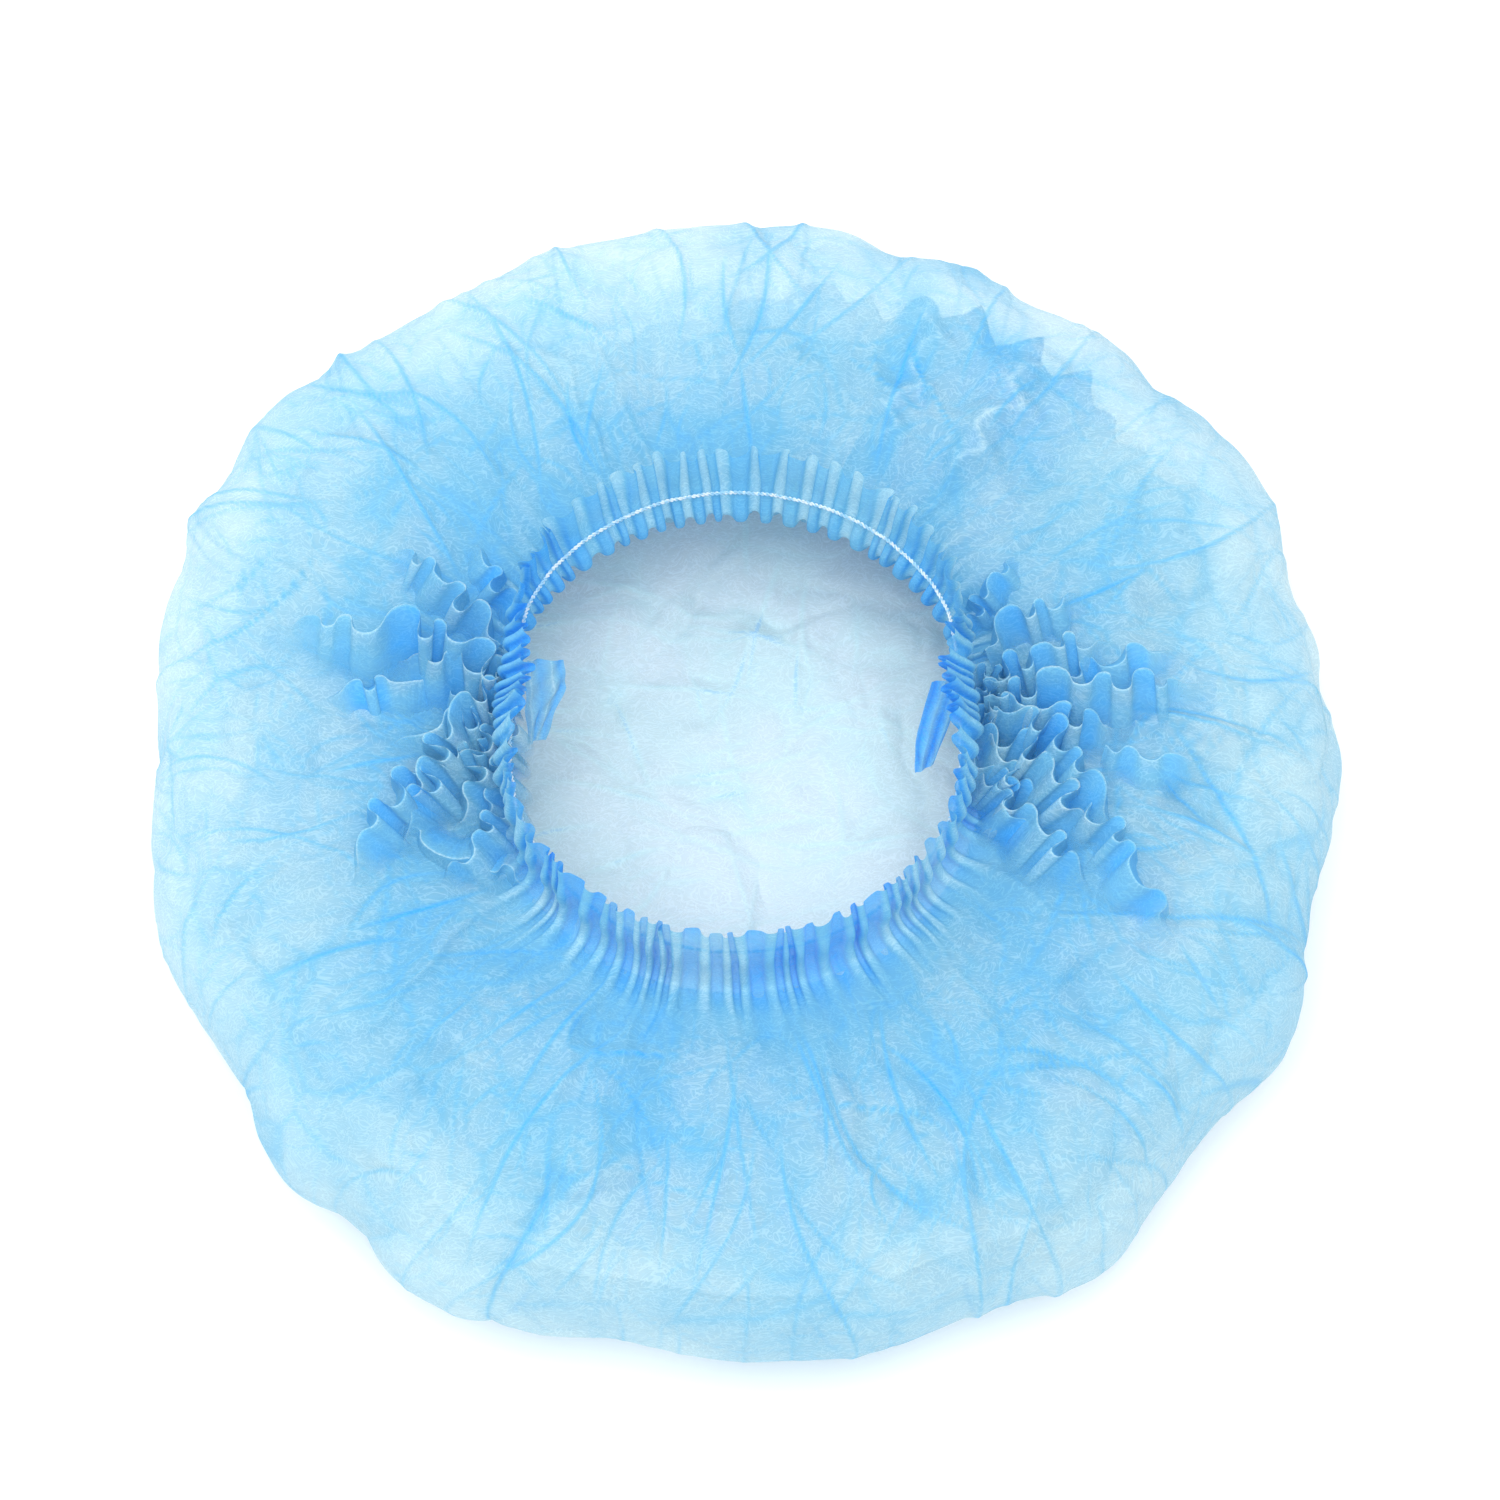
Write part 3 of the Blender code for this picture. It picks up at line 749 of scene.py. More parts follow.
rightRuffles = table("path height run swing wave seed", (
    (((58, 9), (73, 11), (90, 10), (116, 13)), 12, 7, 2.4, 14, 21),
    (((58, 24), (66, 30), (75, 34), (84, 38)), 9, 6, 2.6, 13, 22),
    (((54, 32), (60, 41), (67, 50)), 6, 5, 1.8, 10, 23),
    (((61, 7), (73, 0), (79, -8), (85, -18), (92, -30)), 12, 7, 2.6, 13, 24),
    (((57, 3), (61, -4), (66, -13), (71, -24)), 10, 6, 2.3, 11, 25),
    (((56, -5), (62, -14), (67, -27), (72, -36)), 9, 6, 2.0, 12, 26),
    (((84, -21), (91, -32), (97, -42), (103, -56)), 9, 7, 2.4, 14, 27),
    (((78, 14), (92, 20), (108, 22)), 5, 6, 1.8, 15, 28),
    (((55, 10), (59, 13), (62, 10), (66, 13)), 8, 3, 1.4, 4.5, 29),
    (((55, 5), (59, 6), (61, 3), (65, 4)), 8, 3, 1.4, 4.5, 30),
    (((55, 17), (59, 18), (63, 16), (67, 19)), 7, 3, 1.5, 5.5, 31),
    (((88, -4), (100, -8), (112, -8)), 4, 6, 1.6, 13, 32),
    (((58, 14), (67, 18), (78, 22), (92, 24)), 10, 7, 2.3, 12, 33),
    (((59, 8), (69, 6), (80, 2), (94, 0)), 11, 7, 2.4, 13, 34),
    (((60, 0), (70, -7), (78, -18), (84, -32)), 11, 8, 2.6, 13, 35),
    (((58, -10), (66, -20), (76, -32), (84, -44)), 9, 8, 2.4, 13, 36),
))


def surfaceFinder():
    # the undressed top of the crown, without its lowest rows and its hem, to stand the ruffles on
    columns, firstRow, hemRows = 480, 34, 18
    angle = np.arange(columns) * fullTurn / columns
    grid = plainGrid(upperSections, angle)[firstRow:-hemRows]
    tree = kdtree.KDTree(grid.shape[0] * grid.shape[1])
    for index, point in enumerate(grid.reshape(-1, 3)):
        tree.insert((point[0], point[1], 0.0), index)
    tree.balance()
    heights = grid[..., 2].reshape(-1)

    def heightAt(points):
        return np.array([heights[tree.find((point[0], point[1], 0.0))[1]] for point in points])

    return heightAt


def ruffleGrid(ruffle, near, heightAt):
    random = np.random.default_rng(ruffle["seed"])
    control = np.array(ruffle["path"], dtype=float)
    lengths = np.linalg.norm(np.diff(control, axis=0), axis=1)
    steps = np.concatenate([[0], np.maximum(2, np.round(lengths / ruffleSettings["alongStep"]))])
    line = throughSections(steps, control)
    slope = np.gradient(line, axis=0)
    slope = slope / np.linalg.norm(slope, axis=1, keepdims=True)
    aside = np.stack([slope[:, 1], -slope[:, 0]], axis=1) * near
    length = np.concatenate([[0], np.cumsum(np.linalg.norm(np.diff(line, axis=0), axis=1))])
    along = length / length[-1]
    phase = fullTurn * length / (ruffleSettings["waveShare"] * ruffle["wave"])
    for order in (0.31, 0.53):
        phase = phase + 0.9 * np.sin(order * phase + random.uniform(0, fullTurn))
    size = 0.75 + 0.35 * np.sin(0.41 * phase + random.uniform(0, fullTurn))
    swing = ruffleSettings["swingShare"] * ruffle["swing"] * size
    swing = swing * np.clip(length / 3, 0.25, 1) * np.clip((1 - along) / 0.4, 0.15, 1)
    meander = swing * np.sin(phase)
    shift = -ruffleSettings["curl"] * swing * np.sin(2 * phase)
    taper = np.clip(np.sin(math.pi * np.minimum(0.5, 0.25 + along)), 0, 1)
    taper = taper * np.clip((1 - along) / 0.45, 0, 1) ** 0.7

    side = np.linspace(-1, 1, ruffleSettings["acrossPoints"])
    side = np.sign(side) * np.abs(side) ** ruffleSettings["edge"]
    run = np.where(side > 0, ruffleSettings["nearRun"] * ruffle["run"], ruffleSettings["farRun"])
    profile = np.clip(1 - np.sqrt(side**2 + 0.004) + 0.063, 0, 1) ** ruffleSettings["steepness"]
    follow = 1 - 0.45 * np.abs(side)
    lateral = side * run * (0.35 + 0.65 * taper[:, None]) * (0.7 + 0.7 * along[:, None])
    plan = line[:, None] + aside[:, None] * (lateral + meander[:, None] * follow)[..., None]
    plan = plan + slope[:, None] * (shift[:, None] * follow)[..., None]
    height = (heightAt(line * mm) / mm)[:, None] + ruffle["height"] * taper[:, None] * profile
    height = height - ruffleSettings["sink"] * np.abs(side) ** 2
    grid = np.concatenate([plan, height[..., None]], axis=-1) * mm

    # painted shade: the wall and the hollows of its meander get a darker tone; the far side is a little
    # darker too
    hollow = -np.clip(meander / ruffle["swing"], -1, 1)[:, None] * (side > 0)
    bunchingAndShade = ruffleSettings["tone"] + ruffleSettings["slopeShade"] * np.abs(side) ** 0.7 * (side > 0)
    bunchingAndShade = bunchingAndShade + ruffleSettings["hollowShade"] * hollow + ruffleSettings["farTone"] * (side < 0)
    # painted highlight: a thin lighter line along the ruffle's top
    crest = ruffleSettings["crest"] * np.exp(-((side / ruffleSettings["crestWidth"]) ** 2))
    footed, ended = np.clip((side - 0.5) / 0.5, 0, 1), np.clip((along[:, None] - 0.7) / 0.3, 0, 1)
    return grid, {
        "bunchingAndShade": bunchingAndShade,
        "crest": crest * np.clip(taper * 2, 0, 1)[:, None],
        "thinned": np.clip(0.9 * footed + ended, 0, 0.9),
        "cloud": cloudNoise(grid, 0.014, ruffle["seed"]),
    }


def makeRuffles(name, rows, near, heightAt):
    return meshFromGrids(name, [ruffleGrid(row, near, heightAt) for row in rows])


topSurface = surfaceFinder()
ruffles = [
    makeRuffles("ruffles_left", leftRuffles, -1, topSurface),
    makeRuffles("ruffles_right", rightRuffles, 1, topSurface),
]
print("ruffles made:", sum(len(piece.data.polygons) for piece in ruffles), "quads")


# The part of the crown that lies on the floor, seen through the opening

floorSettings = {
    "columns": 620,
    "rows": 112,
    "middleRows": 86,
    "middleShare": 0.60,
    "puff": 6.0 * mm,
    "facetSharpness": 30,
    "creases": 70,
    "corner": (-75, -62),
    "farCorner": (45, 66),
    "turn": 0.22,
    "bow": 2.6,
    "lengths": (18, 52),
    "heights": (0.3, 1.0),
    "widths": (3, 7),
    "lineWidth": 0.85,
    "rim": 0.75,
    "seed": 31,
}

floorFacets = table("cell tilt share", ((26 * mm, 0.25, 1.0), (12 * mm, 0.3, 0.4)))


def floorRelief(flat):
    # puffed facets, as a height and the tone of the creases between them
    points = np.concatenate([flat, np.zeros(flat.shape[:2] + (1,))], axis=-1)
    points = warped(points, 0.045, 14 * mm, floorSettings["seed"]).reshape(-1, 3)
    low, high = points.min(axis=0), points.max(axis=0)
    height, creases = np.zeros(len(points)), np.zeros(len(points))
    for size in floorFacets:
        random = np.random.default_rng(facetSeed(floorSettings["seed"], size["cell"]))
        count = int((high[0] - low[0]) * (high[1] - low[1]) / size["cell"]**2)
        seeds = random.uniform(low, high, (count, 3))
        bulge, crease = facets(points, seeds, size["cell"], size["tilt"], random)
        height += size["share"] * bulge
        creases = np.maximum(creases, size["share"] * np.exp(-crease * floorSettings["facetSharpness"]))
    height = (height - np.quantile(height, 0.03)) * floorSettings["puff"]
    return height.reshape(flat.shape[:2]), creases.reshape(flat.shape[:2])


def floorCreases(flat):
    # lines that mostly run across, and every fourth one away from the viewer
    height, lines = np.zeros(flat.shape[:2]), np.zeros(flat.shape[:2])
    random = np.random.default_rng(floorSettings["seed"])
    for order in range(floorSettings["creases"]):
        start = random.uniform(floorSettings["corner"], floorSettings["farCorner"])
        turn = random.normal() * floorSettings["turn"] + (math.pi / 2 if order % 4 == 3 else 0)
        length = random.uniform(*floorSettings["lengths"])
        crease = dict(start=start, end=start + np.array([math.cos(turn), math.sin(turn)]) * length)
        crease["bow"] = random.normal() * floorSettings["bow"]
        crease["height"] = random.uniform(*floorSettings["heights"])
        crease["width"] = random.uniform(*floorSettings["widths"])
        drawCrease(height, lines, flat, dict(crease, line=floorSettings["lineWidth"]))
    return height, lines


def makeCrownFloor():
    rows = floorSettings["rows"]
    edge = upperGrid[0, ::clothSettings["columns"] // floorSettings["columns"]]
    knots, shares = (0, floorSettings["middleRows"], rows - 1), (0.0003, floorSettings["middleShare"], 1.0)
    share = np.interp(np.arange(rows), knots, shares)[:, None]
    flat = edge[None, :, :2] * share[..., None]
    height, facetCreaseShade = floorRelief(flat)
    lineHeight, lines = floorCreases(flat)
    height = height + lineHeight
    fade = np.clip((1 - share) / 0.12, 0, 1) * np.clip(share / 0.08, 0, 1)
    rim = np.clip((share - floorSettings["rim"]) / (1 - floorSettings["rim"]), 0, 1) ** 2
    level = rim * edge[None, :, 2] + (1 - rim) * clothSettings["lowest"]
    grid = np.concatenate([flat, (level + np.maximum(height, 0) * fade)[..., None]], axis=-1)
    grid[-1] = edge
    # crease lines and the valleys between the puffs get a darker tone: partly crease lines, partly painted
    # shade in the valleys
    crease = np.maximum(0.40 * facetCreaseShade, 0.9 * lines)
    looks = {"crease": crease, "cloud": cloudNoise(grid, 0.03, floorSettings["seed"])}
    return meshFromGrids("crown_floor", [(grid, looks)], closed=True)


crownFloor = makeCrownFloor()
print("crown floor made:", len(crownFloor.data.polygons), "quads")


# Pleats that stay folded inside the bag, and darken the cloth over them

innerReach = table("angle outer inner", (
    (8, 0.66, 0.34), (36, 0.76, 0.4), (56, 0.9, 0.46), (70, 0.88, 0.4),
    (88, 0.74, 0.34), (108, 0.7, 0.38), (124, 0.78, 0.46), (146, 0.84, 0.42),
    (165, 0.76, 0.36), (182, 0.74, 0.4), (200, 0.8, 0.48), (216, 0.78, 0.5),
    (232, 0.74, 0.4), (252, 0.78, 0.36), (270, 0.76, 0.42), (290, 0.74, 0.4),
    (308, 0.88, 0.46), (326, 0.76, 0.44), (345, 0.66, 0.38),
))

innerSettings = {
    "columns": 620,
    "inset": 0.06,
    "spikes": 62,
    "spikeReach": 0.13,
    "spikesAt": 60.0,
    "spikesSpan": 16.0,
    "spikeTone": 0.25,
    "thinning": 0.80,
    "narrowDrop": 0.10,
    "seed": 51,
}

innerSections = table("rows ring outline reach height gather pairs swags crumple", (
    (0, 0.97, 0.03, 0.0, 0.74, 2.2, 0.6, 0.0, 0.4),
    (6, 0.9, 0.1, 0.05, 0.7, 1.6, 1.6, 0.5, 1.0),
    (8, 0.95, 0.05, 0.45, 0.7, 0.8, 2.4, 1.0, 3.0),
    (8, 1.0, 0.0, 0.85, 0.66, 0.4, 2.6, 2.0, 4.0),
    (4, 1.0, 0.0, 1.0, 0.6, 0.4, 4.6, 4.0, 4.0),
    (4, 1.0, 0.0, 0.85, 0.54, 0.4, 2.6, 2.0, 4.0),
    (8, 0.95, 0.05, 0.45, 0.52, 0.8, 2.2, 1.0, 3.0),
    (8, 0.92, 0.08, 0.05, 0.6, 1.6, 1.2, 0.5, 1.0),
))


def spiky(angle):
    # where the pleats' edge is a zigzag, at the upper right
    apart = degreesApart(np.degrees(angle), innerSettings["spikesAt"])
    return np.exp(-((apart / innerSettings["spikesSpan"]) ** 2))


def innerEdge(angle, key, seed):
    # how far out a pleat reaches, as a share of the outline
    angles, shares = np.radians([row["angle"] for row in innerReach]), [row[key] for row in innerReach]
    ragged = np.abs(softNoise(angle, 44, seed + 5)) * 0.05 + np.abs(softNoise(angle, 18, seed + 6)) * 0.04
    spikes = np.abs((angle * innerSettings["spikes"] / fullTurn + 0.25 * np.sin(9 * angle)) % 1.0 - 0.5) * 2
    edge = np.interp(angle, angles, shares, period=fullTurn) + ragged - innerSettings["inset"]
    return edge + innerSettings["spikeReach"] * (spikes - 0.5) * spiky(angle)


def makeInnerPleat(name, key, drop, seed):
    sections = [
        dict(section, height=section["height"] - drop, lean=0, rise=0, folds=0) for section in innerSections
    ]
    columns = innerSettings["columns"]
    grid, looks = makeClothGrid(sections, columns, seed, lambda angle: innerEdge(angle, key, seed))
    spikes = spiky(np.arange(columns) * fullTurn / columns)[None]
    reached = betweenSections(column(sections, "rows"), column(sections, "reach"))
    looks["thinned"] = np.clip((reached - 0.25) / 0.75, 0, 1) * (innerSettings["thinning"] - 0.75 * spikes)
    looks["bunchingAndShade"] = looks["bunchingAndShade"] + innerSettings["spikeTone"] * spikes
    return meshFromGrids(name, [(grid, looks)], closed=True)


innerPleats = [
    makeInnerPleat("inner_pleat_wide", "outer", 0.0, innerSettings["seed"]),
    makeInnerPleat("inner_pleat_narrow", "inner", innerSettings["narrowDrop"], innerSettings["seed"] + 7),
]
print("inner pleats made")


# The covered elastic: two white strands twisted round each other along the frame's own line

elasticSettings = {
    "pathPoints": 288,
    "turns": 165,
    "stepsPerTurn": 8,
    "strandRadius": 0.29 * mm,
    "strandOffset": 0.27 * mm,
    "strandSides": 6,
    "wobble": 0.12 * mm,
    "wobbleWaves": 50,
    "poleTuck": -1.5 * mm,
    "nearTuck": 0.6 * mm,
}


def addSocket(tree, name, kind, default=None):
    socket = tree.interface.new_socket(name, in_out="INPUT", socket_type=kind)
    if default is not None:
        socket.default_value = default
    return socket


def place(tree, kind, feeds=None, **settings):
    node = tree.nodes.new(kind)
    for name, value in settings.items():
        setattr(node, name, value)
    for name, value in (feeds or {}).items():
        if isinstance(value, bpy.types.NodeSocket):
            tree.links.new(value, node.inputs[name])
        else:
            node.inputs[name].default_value = value
    return node


def calculate(tree, operation, *values, **settings):
    return place(tree, "ShaderNodeMath", dict(enumerate(values)), operation=operation, **settings).outputs[0]


def setInput(modifier, tree, name, value):
    for item in tree.interface.items_tree:
        if item.item_type == "SOCKET" and item.in_out == "INPUT" and item.name == name:
            modifier[item.identifier] = value


def twistedCordTree():
    tree = bpy.data.node_groups.new("twisted elastic", "GeometryNodeTree")
    tree.interface.new_socket("Geometry", in_out="INPUT", socket_type="NodeSocketGeometry")
    tree.interface.new_socket("Geometry", in_out="OUTPUT", socket_type="NodeSocketGeometry")
    addSocket(tree, "Turns", "NodeSocketInt", 100)
    addSocket(tree, "Steps per turn", "NodeSocketInt", 8)
    addSocket(tree, "Strand radius", "NodeSocketFloat", 0.0004)
    addSocket(tree, "Strand offset", "NodeSocketFloat", 0.0004)
    addSocket(tree, "Strand sides", "NodeSocketInt", 6)
    addSocket(tree, "Material", "NodeSocketMaterial")
    given = place(tree, "NodeGroupInput").outputs
    count = calculate(tree, "MULTIPLY", given["Turns"], given["Steps per turn"])
    line = place(tree, "GeometryNodeResampleCurve", {"Curve": given["Geometry"], "Count": count})
    upright = place(tree, "GeometryNodeSetCurveNormal", {"Curve": line.outputs["Curve"]}, mode="Z_UP")
    along = place(tree, "GeometryNodeSplineParameter")
    tilt = calculate(tree, "MULTIPLY", along.outputs["Factor"], given["Turns"])
    tilt = calculate(tree, "MULTIPLY", tilt, fullTurn)
    twisted = place(tree, "GeometryNodeSetCurveTilt", {"Curve": upright.outputs["Curve"], "Tilt": tilt})
    strand = place(tree, "GeometryNodeCurvePrimitiveCircle", {
        "Resolution": given["Strand sides"], "Radius": given["Strand radius"],
    })
    pair = place(tree, "GeometryNodeJoinGeometry")
    for side in (1.0, -1.0):
        shift = calculate(tree, "MULTIPLY", given["Strand offset"], side)
        spot = place(tree, "ShaderNodeCombineXYZ", {"X": shift})
        moved = place(tree, "GeometryNodeTransform", {
            "Geometry": strand.outputs["Curve"], "Translation": spot.outputs[0],
        })
        tree.links.new(moved.outputs["Geometry"], pair.inputs["Geometry"])
    swept = place(tree, "GeometryNodeCurveToMesh", {
        "Curve": twisted.outputs["Curve"], "Profile Curve": pair.outputs["Geometry"],
    })
    smooth = place(tree, "GeometryNodeSetShadeSmooth", {"Geometry": swept.outputs["Mesh"]})
    real = place(tree, "GeometryNodeRealizeInstances", {"Geometry": smooth.outputs["Geometry"]})
    finish = place(tree, "GeometryNodeSetMaterial", {
        "Geometry": real.outputs["Geometry"], "Material": given["Material"],
    })
    place(tree, "NodeGroupOutput", {"Geometry": finish.outputs["Geometry"]})
    return tree


def makeElastic(material):
    curve = bpy.data.curves.new("elastic_thread", "CURVE")
    curve.dimensions = "3D"
    spline = curve.splines.new("POLY")
    count = elasticSettings["pathPoints"]
    spline.points.add(count - 1)
    angle = np.arange(count) * fullTurn / count
    sideways, upwards = (
        elasticSettings["wobble"] * softNoise(angle, elasticSettings["wobbleWaves"], seed) for seed in (3, 4)
    )
    radius = ringRadius(angle) + sideways + elasticSettings["poleTuck"] * poleNearness(angle)
    radius = radius + elasticSettings["nearTuck"] * np.clip(-2 * np.sin(angle), 0, 1)
    x, y = ringCentre[0] + radius * np.cos(angle), ringCentre[1] + radius * np.sin(angle)
    points = np.stack([x, y, ringHeight + upwards, np.ones(count)], axis=-1)
    spline.points.foreach_set("co", points.reshape(-1).astype(np.float32))
    spline.use_cyclic_u = True
    piece = bpy.data.objects.new("elastic_thread", curve)
    bpy.context.scene.collection.objects.link(piece)
    tree = twistedCordTree()
    modifier = piece.modifiers.new("twist", "NODES")
    modifier.node_group = tree
    for name, key in (
        ("Turns", "turns"),
        ("Steps per turn", "stepsPerTurn"),
        ("Strand radius", "strandRadius"),
        ("Strand offset", "strandOffset"),
        ("Strand sides", "strandSides"),
    ):
        setInput(modifier, tree, name, elasticSettings[key])
    setInput(modifier, tree, "Material", material)
    return bakeModifiers(piece)


# The welded ends of the strip: small accordions of cloth that hang into the opening

tabSettings = {
    "folds": 4,
    "foldDepth": 0.65,
    "acrossPoints": 51,
    "downPoints": 36,
    "widestAt": 0.45,
    "foldShade": 0.25,
}

tabs = {
    "tab_left": dict(
        top=(-55.5, 16.0, 60.0), tip=(-55.5, 0.5, 44.0), inward=(1.0, 0.30, -0.30), widths=(10.0, 11.0, 4.5),
        density=0.66, seed=2,
    ),
    "tab_right": dict(
        top=(54.5, 12.0, 60.0), tip=(45.5, -5.0, 43.0), inward=(-1.0, -0.25, -0.30), widths=(11.0, 9.0, 4.5),
        density=0.84, seed=5,
    ),
}


def makeTab(name, tab):
    across = np.linspace(0, 1, tabSettings["acrossPoints"])[None, :, None]
    down = np.linspace(0, 1, tabSettings["downPoints"])[:, None, None]
    top, tip, inward = (np.array(tab[key]) for key in ("top", "tip", "inward"))
    inward = inward / np.linalg.norm(inward)
    upward = np.cross(inward, tip - top)
    upward = upward / np.linalg.norm(upward) * (1 if upward[2] > 0 else -1)
    phase = across * tabSettings["folds"] * math.pi
    fold = np.arcsin(0.97 * np.sin(phase)) / 1.32
    width = np.interp(down, (0, tabSettings["widestAt"], 1), tab["widths"])
    sway = 0.5 * np.sin(5 * down + 7 * across + tab["seed"]) + 0.3 * np.sin(17 * down + 11 * across)
    grid = top + (tip - top) * (down + 0.07 * across * np.sin(4 * down + tab["seed"]))
    grid = grid + inward * (width * across + 0.3 * sway)
    grid = grid + upward * (fold * tabSettings["foldDepth"] * (0.5 + 0.5 * down) + sway)
    fold = fold[..., 0] * np.ones(grid.shape[:2])
    # painted shade and highlight: the sunken folds of the accordion get a darker tone, the raised ones
    # lighter, with a lighter line on their ridges
    return meshFromGrids(name, [(grid * mm, {
        "bunchingAndShade": tab["density"] - tabSettings["foldShade"] * fold,
        "crest": np.clip(fold, 0, 1) ** 10,
        "cloud": cloudNoise(grid * mm, 0.012, tab["seed"]),
    })])


# Finishes

clothColours = {
    "thin": (0.655, 0.870, 0.895, 1.0),
    "middle": (0.235, 0.605, 0.820, 1.0),
    "dense": (0.085, 0.480, 0.960, 1.0),
    "deepest": (0.035, 0.310, 0.940, 1.0),
    "white": (0.760, 0.900, 0.960, 1.0),
    "elastic": (0.80, 0.91, 0.97, 1.0),
    "elasticShade": (0.36, 0.68, 0.92, 1.0),
}


fibreSettings = {
    "scale": 600.0,
    "lengthwise": 0.35,
    "warpScale": 150.0,
    "warp": 0.006,
    "thickness": 0.04,
}

fibreFamilies = table("turn scale", ((0.12, 1.0), (0.9, 2.1)))


def fibreWebGroup():
    # long thin lines where a stretched noise crosses its middle value
    tree = bpy.data.node_groups.new("fibre web", "ShaderNodeTree")
    for name, key in (("Fibre scale", "scale"), ("Lengthwise", "lengthwise")):
        addSocket(tree, name, "NodeSocketFloat", fibreSettings[key])
    for name in ("Fibres", "Relief"):
        tree.interface.new_socket(name, in_out="OUTPUT", socket_type="NodeSocketFloat")
    given = place(tree, "NodeGroupInput").outputs
    where = place(tree, "ShaderNodeTexCoord").outputs["Object"]
    warp = place(tree, "ShaderNodeTexNoise", {
        "Vector": where, "Scale": fibreSettings["warpScale"], "Detail": 0.0,
    })
    feeds = {0: warp.outputs["Color"], 1: (0.5, 0.5, 0.5)}
    centred = place(tree, "ShaderNodeVectorMath", feeds, operation="SUBTRACT").outputs[0]
    feeds = {0: centred, "Scale": fibreSettings["warp"]}
    scaled = place(tree, "ShaderNodeVectorMath", feeds, operation="SCALE").outputs[0]
    moved = place(tree, "ShaderNodeVectorMath", {0: where, 1: scaled}, operation="ADD").outputs[0]
    stretch = place(tree, "ShaderNodeCombineXYZ", {"X": given["Lengthwise"], "Y": 1.0, "Z": 1.0})
    lines = []
    for family in fibreFamilies:
        turned = place(tree, "ShaderNodeMapping", {
            "Vector": moved, "Rotation": (0.0, 0.0, family["turn"]), "Scale": stretch.outputs[0],
        })
        scale = calculate(tree, "MULTIPLY", given["Fibre scale"], family["scale"])
        noise = place(tree, "ShaderNodeTexNoise", {
            "Vector": turned.outputs[0], "Scale": scale, "Detail": 1.0,
        })
        fromMiddle = calculate(tree, "ABSOLUTE", calculate(tree, "SUBTRACT", noise.outputs["Fac"], 0.5))
        line = place(tree, "ShaderNodeMapRange", {
            "Value": fromMiddle, "From Min": 0.0, "From Max": fibreSettings["thickness"],
            "To Min": 1.0, "To Max": 0.0,
        })
        lines.append(line.outputs[0])
    web = calculate(tree, "MAXIMUM", *lines)
    place(tree, "NodeGroupOutput", {"Fibres": web, "Relief": noise.outputs["Fac"]})
    return tree


fibreWeb = fibreWebGroup()


def mixColour(tree, share, first, second):
    node = place(tree, "ShaderNodeMix", data_type="RGBA")
    for socket, value in zip((node.inputs[0], node.inputs[6], node.inputs[7]), (share, first, second)):
        if isinstance(value, bpy.types.NodeSocket):
            tree.links.new(value, socket)
        else:
            socket.default_value = value
    return node.outputs[2]


def readAttribute(tree, name):
    return place(tree, "ShaderNodeAttribute", attribute_name=name).outputs["Fac"]


def weighted(tree, terms, start):
    # a constant plus a share of each mask, kept between 0 and 1
    total = start
    for socket, share in terms:
        total = calculate(tree, "MULTIPLY_ADD", socket, share, total, use_clamp=True)
    return total


def makeClothFinish(name, density, cover, glow, cloudShare, pale, full):
    material = bpy.data.materials.new(name)
    material.use_nodes = True
    tree = material.node_tree
    tree.nodes.clear()
    web = place(tree, "ShaderNodeGroup", node_tree=fibreWeb).outputs
    dense, crest, crease, cloud = (
        readAttribute(tree, mask) for mask in ("bunchingAndShade", "crest", "crease", "cloud")
    )
    fibres = web["Fibres"]
    # the bunching mask brings painted shade into the colour and alpha, and the crest mask a painted highlight
    # that lightens the tops of ridges
    depth = weighted(
        tree, ((dense, 0.62), (cloud, cloudShare), (crease, 0.40), (crest, -0.12), (fibres, -0.10)), density,
    )
    ramp = place(tree, "ShaderNodeValToRGB", {"Fac": depth})
    stops = ramp.color_ramp.elements
    stops[0].color = clothColours[pale]
    stops[1].color = clothColours["deepest"]
    for position, colour in ((0.38, full), (0.72, "dense")):
        stops.new(position).color = clothColours[colour]
    colour = ramp.outputs["Color"]
    alpha = weighted(tree, ((depth, 0.55), (fibres, 0.18), (crest, 0.2)), cover)
    kept = calculate(tree, "SUBTRACT", 1.0, readAttribute(tree, "thinned"))
    alpha = calculate(tree, "MULTIPLY", alpha, kept)
    bump = place(tree, "ShaderNodeBump", {
        "Height": web["Relief"], "Strength": 0.35, "Distance": 0.4 * mm,
    }).outputs[0]
    front = place(tree, "ShaderNodeBsdfPrincipled", {
        "Base Color": colour, "Normal": bump, "Roughness": 0.78, "Specular IOR Level": 0.25,
    })
    through = place(tree, "ShaderNodeBsdfTranslucent", {"Color": colour, "Normal": bump})
    cloth = place(tree, "ShaderNodeMixShader", {0: glow, 1: front.outputs[0], 2: through.outputs[0]})
    gaps = place(tree, "ShaderNodeBsdfTransparent")
    whole = place(tree, "ShaderNodeMixShader", {0: alpha, 1: gaps.outputs[0], 2: cloth.outputs[0]})
    place(tree, "ShaderNodeOutputMaterial", {"Surface": whole.outputs[0]})
    return material


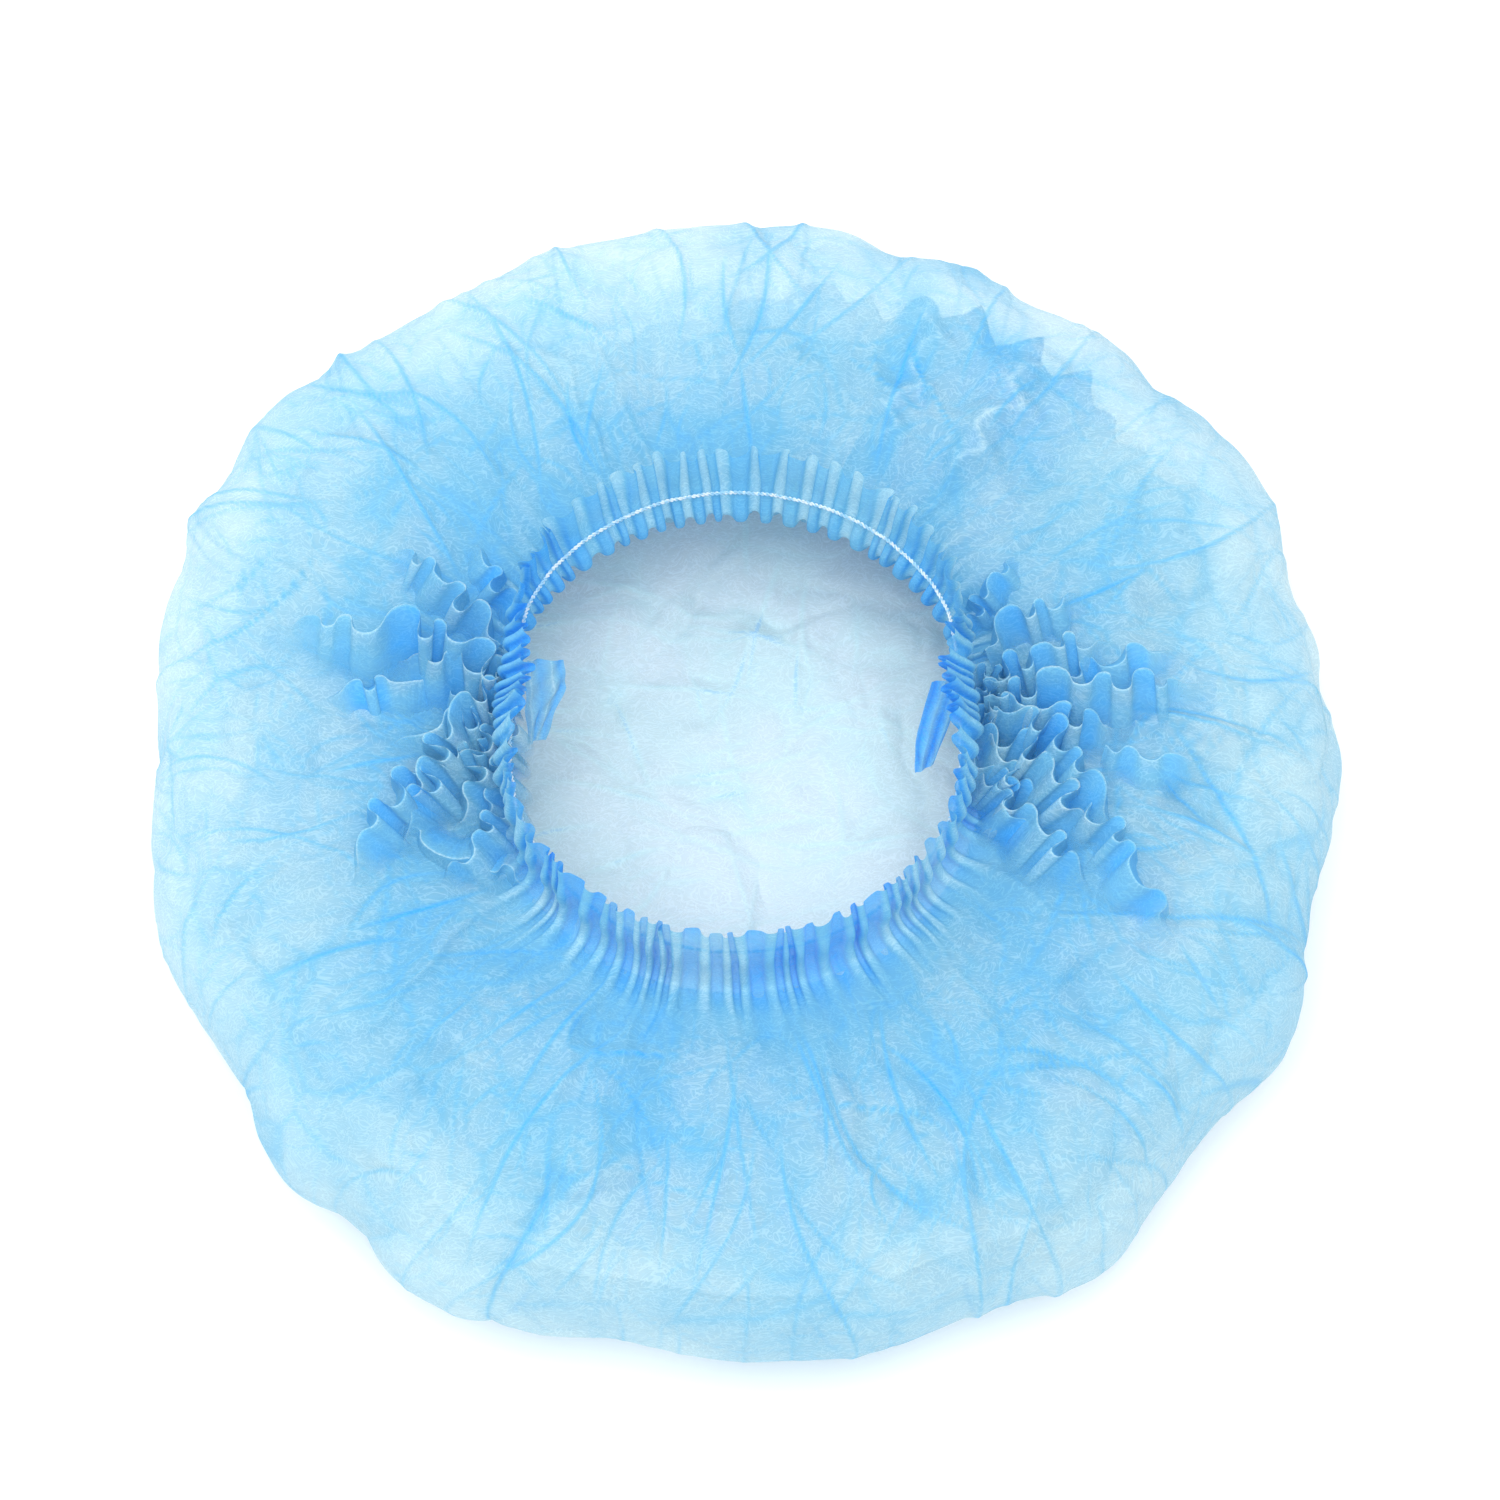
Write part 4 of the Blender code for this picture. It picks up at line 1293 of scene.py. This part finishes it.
def makeElasticFinish():
    material = bpy.data.materials.new("elastic yarn")
    material.use_nodes = True
    tree = material.node_tree
    tree.nodes.clear()
    where = place(tree, "ShaderNodeTexCoord").outputs["Object"]
    fuzz = place(tree, "ShaderNodeTexNoise", {"Vector": where, "Scale": 2600.0, "Detail": 3.0})
    knots = place(tree, "ShaderNodeTexNoise", {"Vector": where, "Scale": 900.0, "Detail": 0.0})
    light = place(tree, "ShaderNodeMapRange", {
        "Value": knots.outputs["Fac"], "From Min": 0.40, "From Max": 0.58,
    })
    colour = mixColour(tree, light.outputs[0], clothColours["elasticShade"], clothColours["elastic"])
    bump = place(tree, "ShaderNodeBump", {
        "Height": fuzz.outputs["Fac"], "Strength": 0.4, "Distance": 0.2 * mm,
    })
    front = place(tree, "ShaderNodeBsdfPrincipled", {
        "Base Color": colour, "Roughness": 0.6, "Normal": bump.outputs[0], "Sheen Weight": 0.2,
    })
    place(tree, "ShaderNodeOutputMaterial", {"Surface": front.outputs[0]})
    return material


def makeFloorFinish():
    material = bpy.data.materials.new("pale floor")
    material.use_nodes = True
    shader = material.node_tree.nodes["Principled BSDF"]
    shader.inputs["Base Color"].default_value = (0.93, 0.94, 0.95, 1.0)
    shader.inputs["Roughness"].default_value = 0.9
    return material


clothFinishes = table("name density cover glow cloudShare pale full", (
    ("non-woven cloth", 0.05, 0.40, 0.28, 0.20, "thin", "middle"),
    ("non-woven cloth, flat", -0.04, 0.60, 0.08, 0.26, "white", "thin"),
    ("non-woven cloth, folded inside", 0.14, 0.46, 0.40, 0.20, "thin", "middle"),
))
clothFinish, floorClothFinish, innerFinish = (makeClothFinish(**finish) for finish in clothFinishes)
elasticFinish = makeElasticFinish()
print("finishes made")

elasticThread = makeElastic(elasticFinish)
tabLeft, tabRight = (makeTab(name, tab) for name, tab in tabs.items())

for finish, pieces in (
    (clothFinish, (crownUpper, crownGathers, tabLeft, tabRight, *ruffles)),
    (floorClothFinish, (crownFloor,)),
    (innerFinish, innerPleats),
):
    for piece in pieces:
        piece.data.materials.append(finish)
print("elastic and tabs made")


# Each piece goes under the root body with its area and triangles printed, and the frame's own parts are
# hidden


def meshArea(piece):
    return sum(face.area for face in piece.data.polygons)


for piece in (crownUpper, crownGathers, crownFloor, *innerPleats, *ruffles, elasticThread, tabLeft, tabRight):
    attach(piece, "root")
    triangles = sum(len(face.vertices) - 2 for face in piece.data.polygons)
    print(piece.name, "area", round(meshArea(piece), 4), "triangles", triangles)
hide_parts("crown")
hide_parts("elastic_band")
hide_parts("end_tab_left")
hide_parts("end_tab_right")


# Floor, studio light and camera

studio = {
    "floorSize": 6.0,
    "worldStrength": 0.82,
    "worldColour": (0.97, 0.985, 1.0, 1.0),
    "elevation": 66.0,
    "lens": 135.0,
    "sensor": 36.0,
    "imageWidth": 0.3781,
    "aim": (0.0, 0.0053, 0.0292),
}

lamps = table("name spot size power", (
    ("key", (-1.10, 0.70, 1.25), 1.2, 8.0),
    ("overhead", (0.0, -0.35, 1.6), 1.2, 19.0),
))


def makeStudio():
    bpy.ops.mesh.primitive_plane_add(size=studio["floorSize"])
    floor = bpy.context.object
    floor.name = "studio_floor"
    floor.data.materials.append(makeFloorFinish())
    world = bpy.data.worlds.new("studio")
    world.use_nodes = True
    background = world.node_tree.nodes["Background"]
    background.inputs["Color"].default_value = studio["worldColour"]
    background.inputs["Strength"].default_value = studio["worldStrength"]
    bpy.context.scene.world = world
    for row in lamps:
        light = bpy.data.lights.new(row["name"], "AREA")
        light.shape = "SQUARE"
        light.size = row["size"]
        light.energy = row["power"]
        lamp = bpy.data.objects.new(row["name"], light)
        lamp.location = row["spot"]
        lamp.rotation_mode = "QUATERNION"
        direction = Vector(studio["aim"]) - Vector(row["spot"])
        lamp.rotation_quaternion = direction.to_track_quat("-Z", "Y")
        bpy.context.scene.collection.objects.link(lamp)


def makeCamera():
    data = bpy.data.cameras.new("camera")
    data.lens = studio["lens"]
    data.sensor_width = studio["sensor"]
    camera = bpy.data.objects.new("camera", data)
    distance = studio["imageWidth"] * studio["lens"] / data.sensor_width
    raised = math.radians(studio["elevation"])
    camera.location = (
        studio["aim"][0],
        studio["aim"][1] - distance * math.cos(raised),
        studio["aim"][2] + distance * math.sin(raised),
    )
    camera.rotation_euler = (math.pi / 2 - raised, 0.0, 0.0)
    bpy.context.scene.collection.objects.link(camera)
    bpy.context.scene.camera = camera


makeStudio()
makeCamera()
bpy.context.scene.view_settings.view_transform = "Standard"
bpy.context.scene.cycles.max_bounces = 6
bpy.context.scene.cycles.diffuse_bounces = 3
bpy.context.scene.cycles.transmission_bounces = 3
print("studio made")
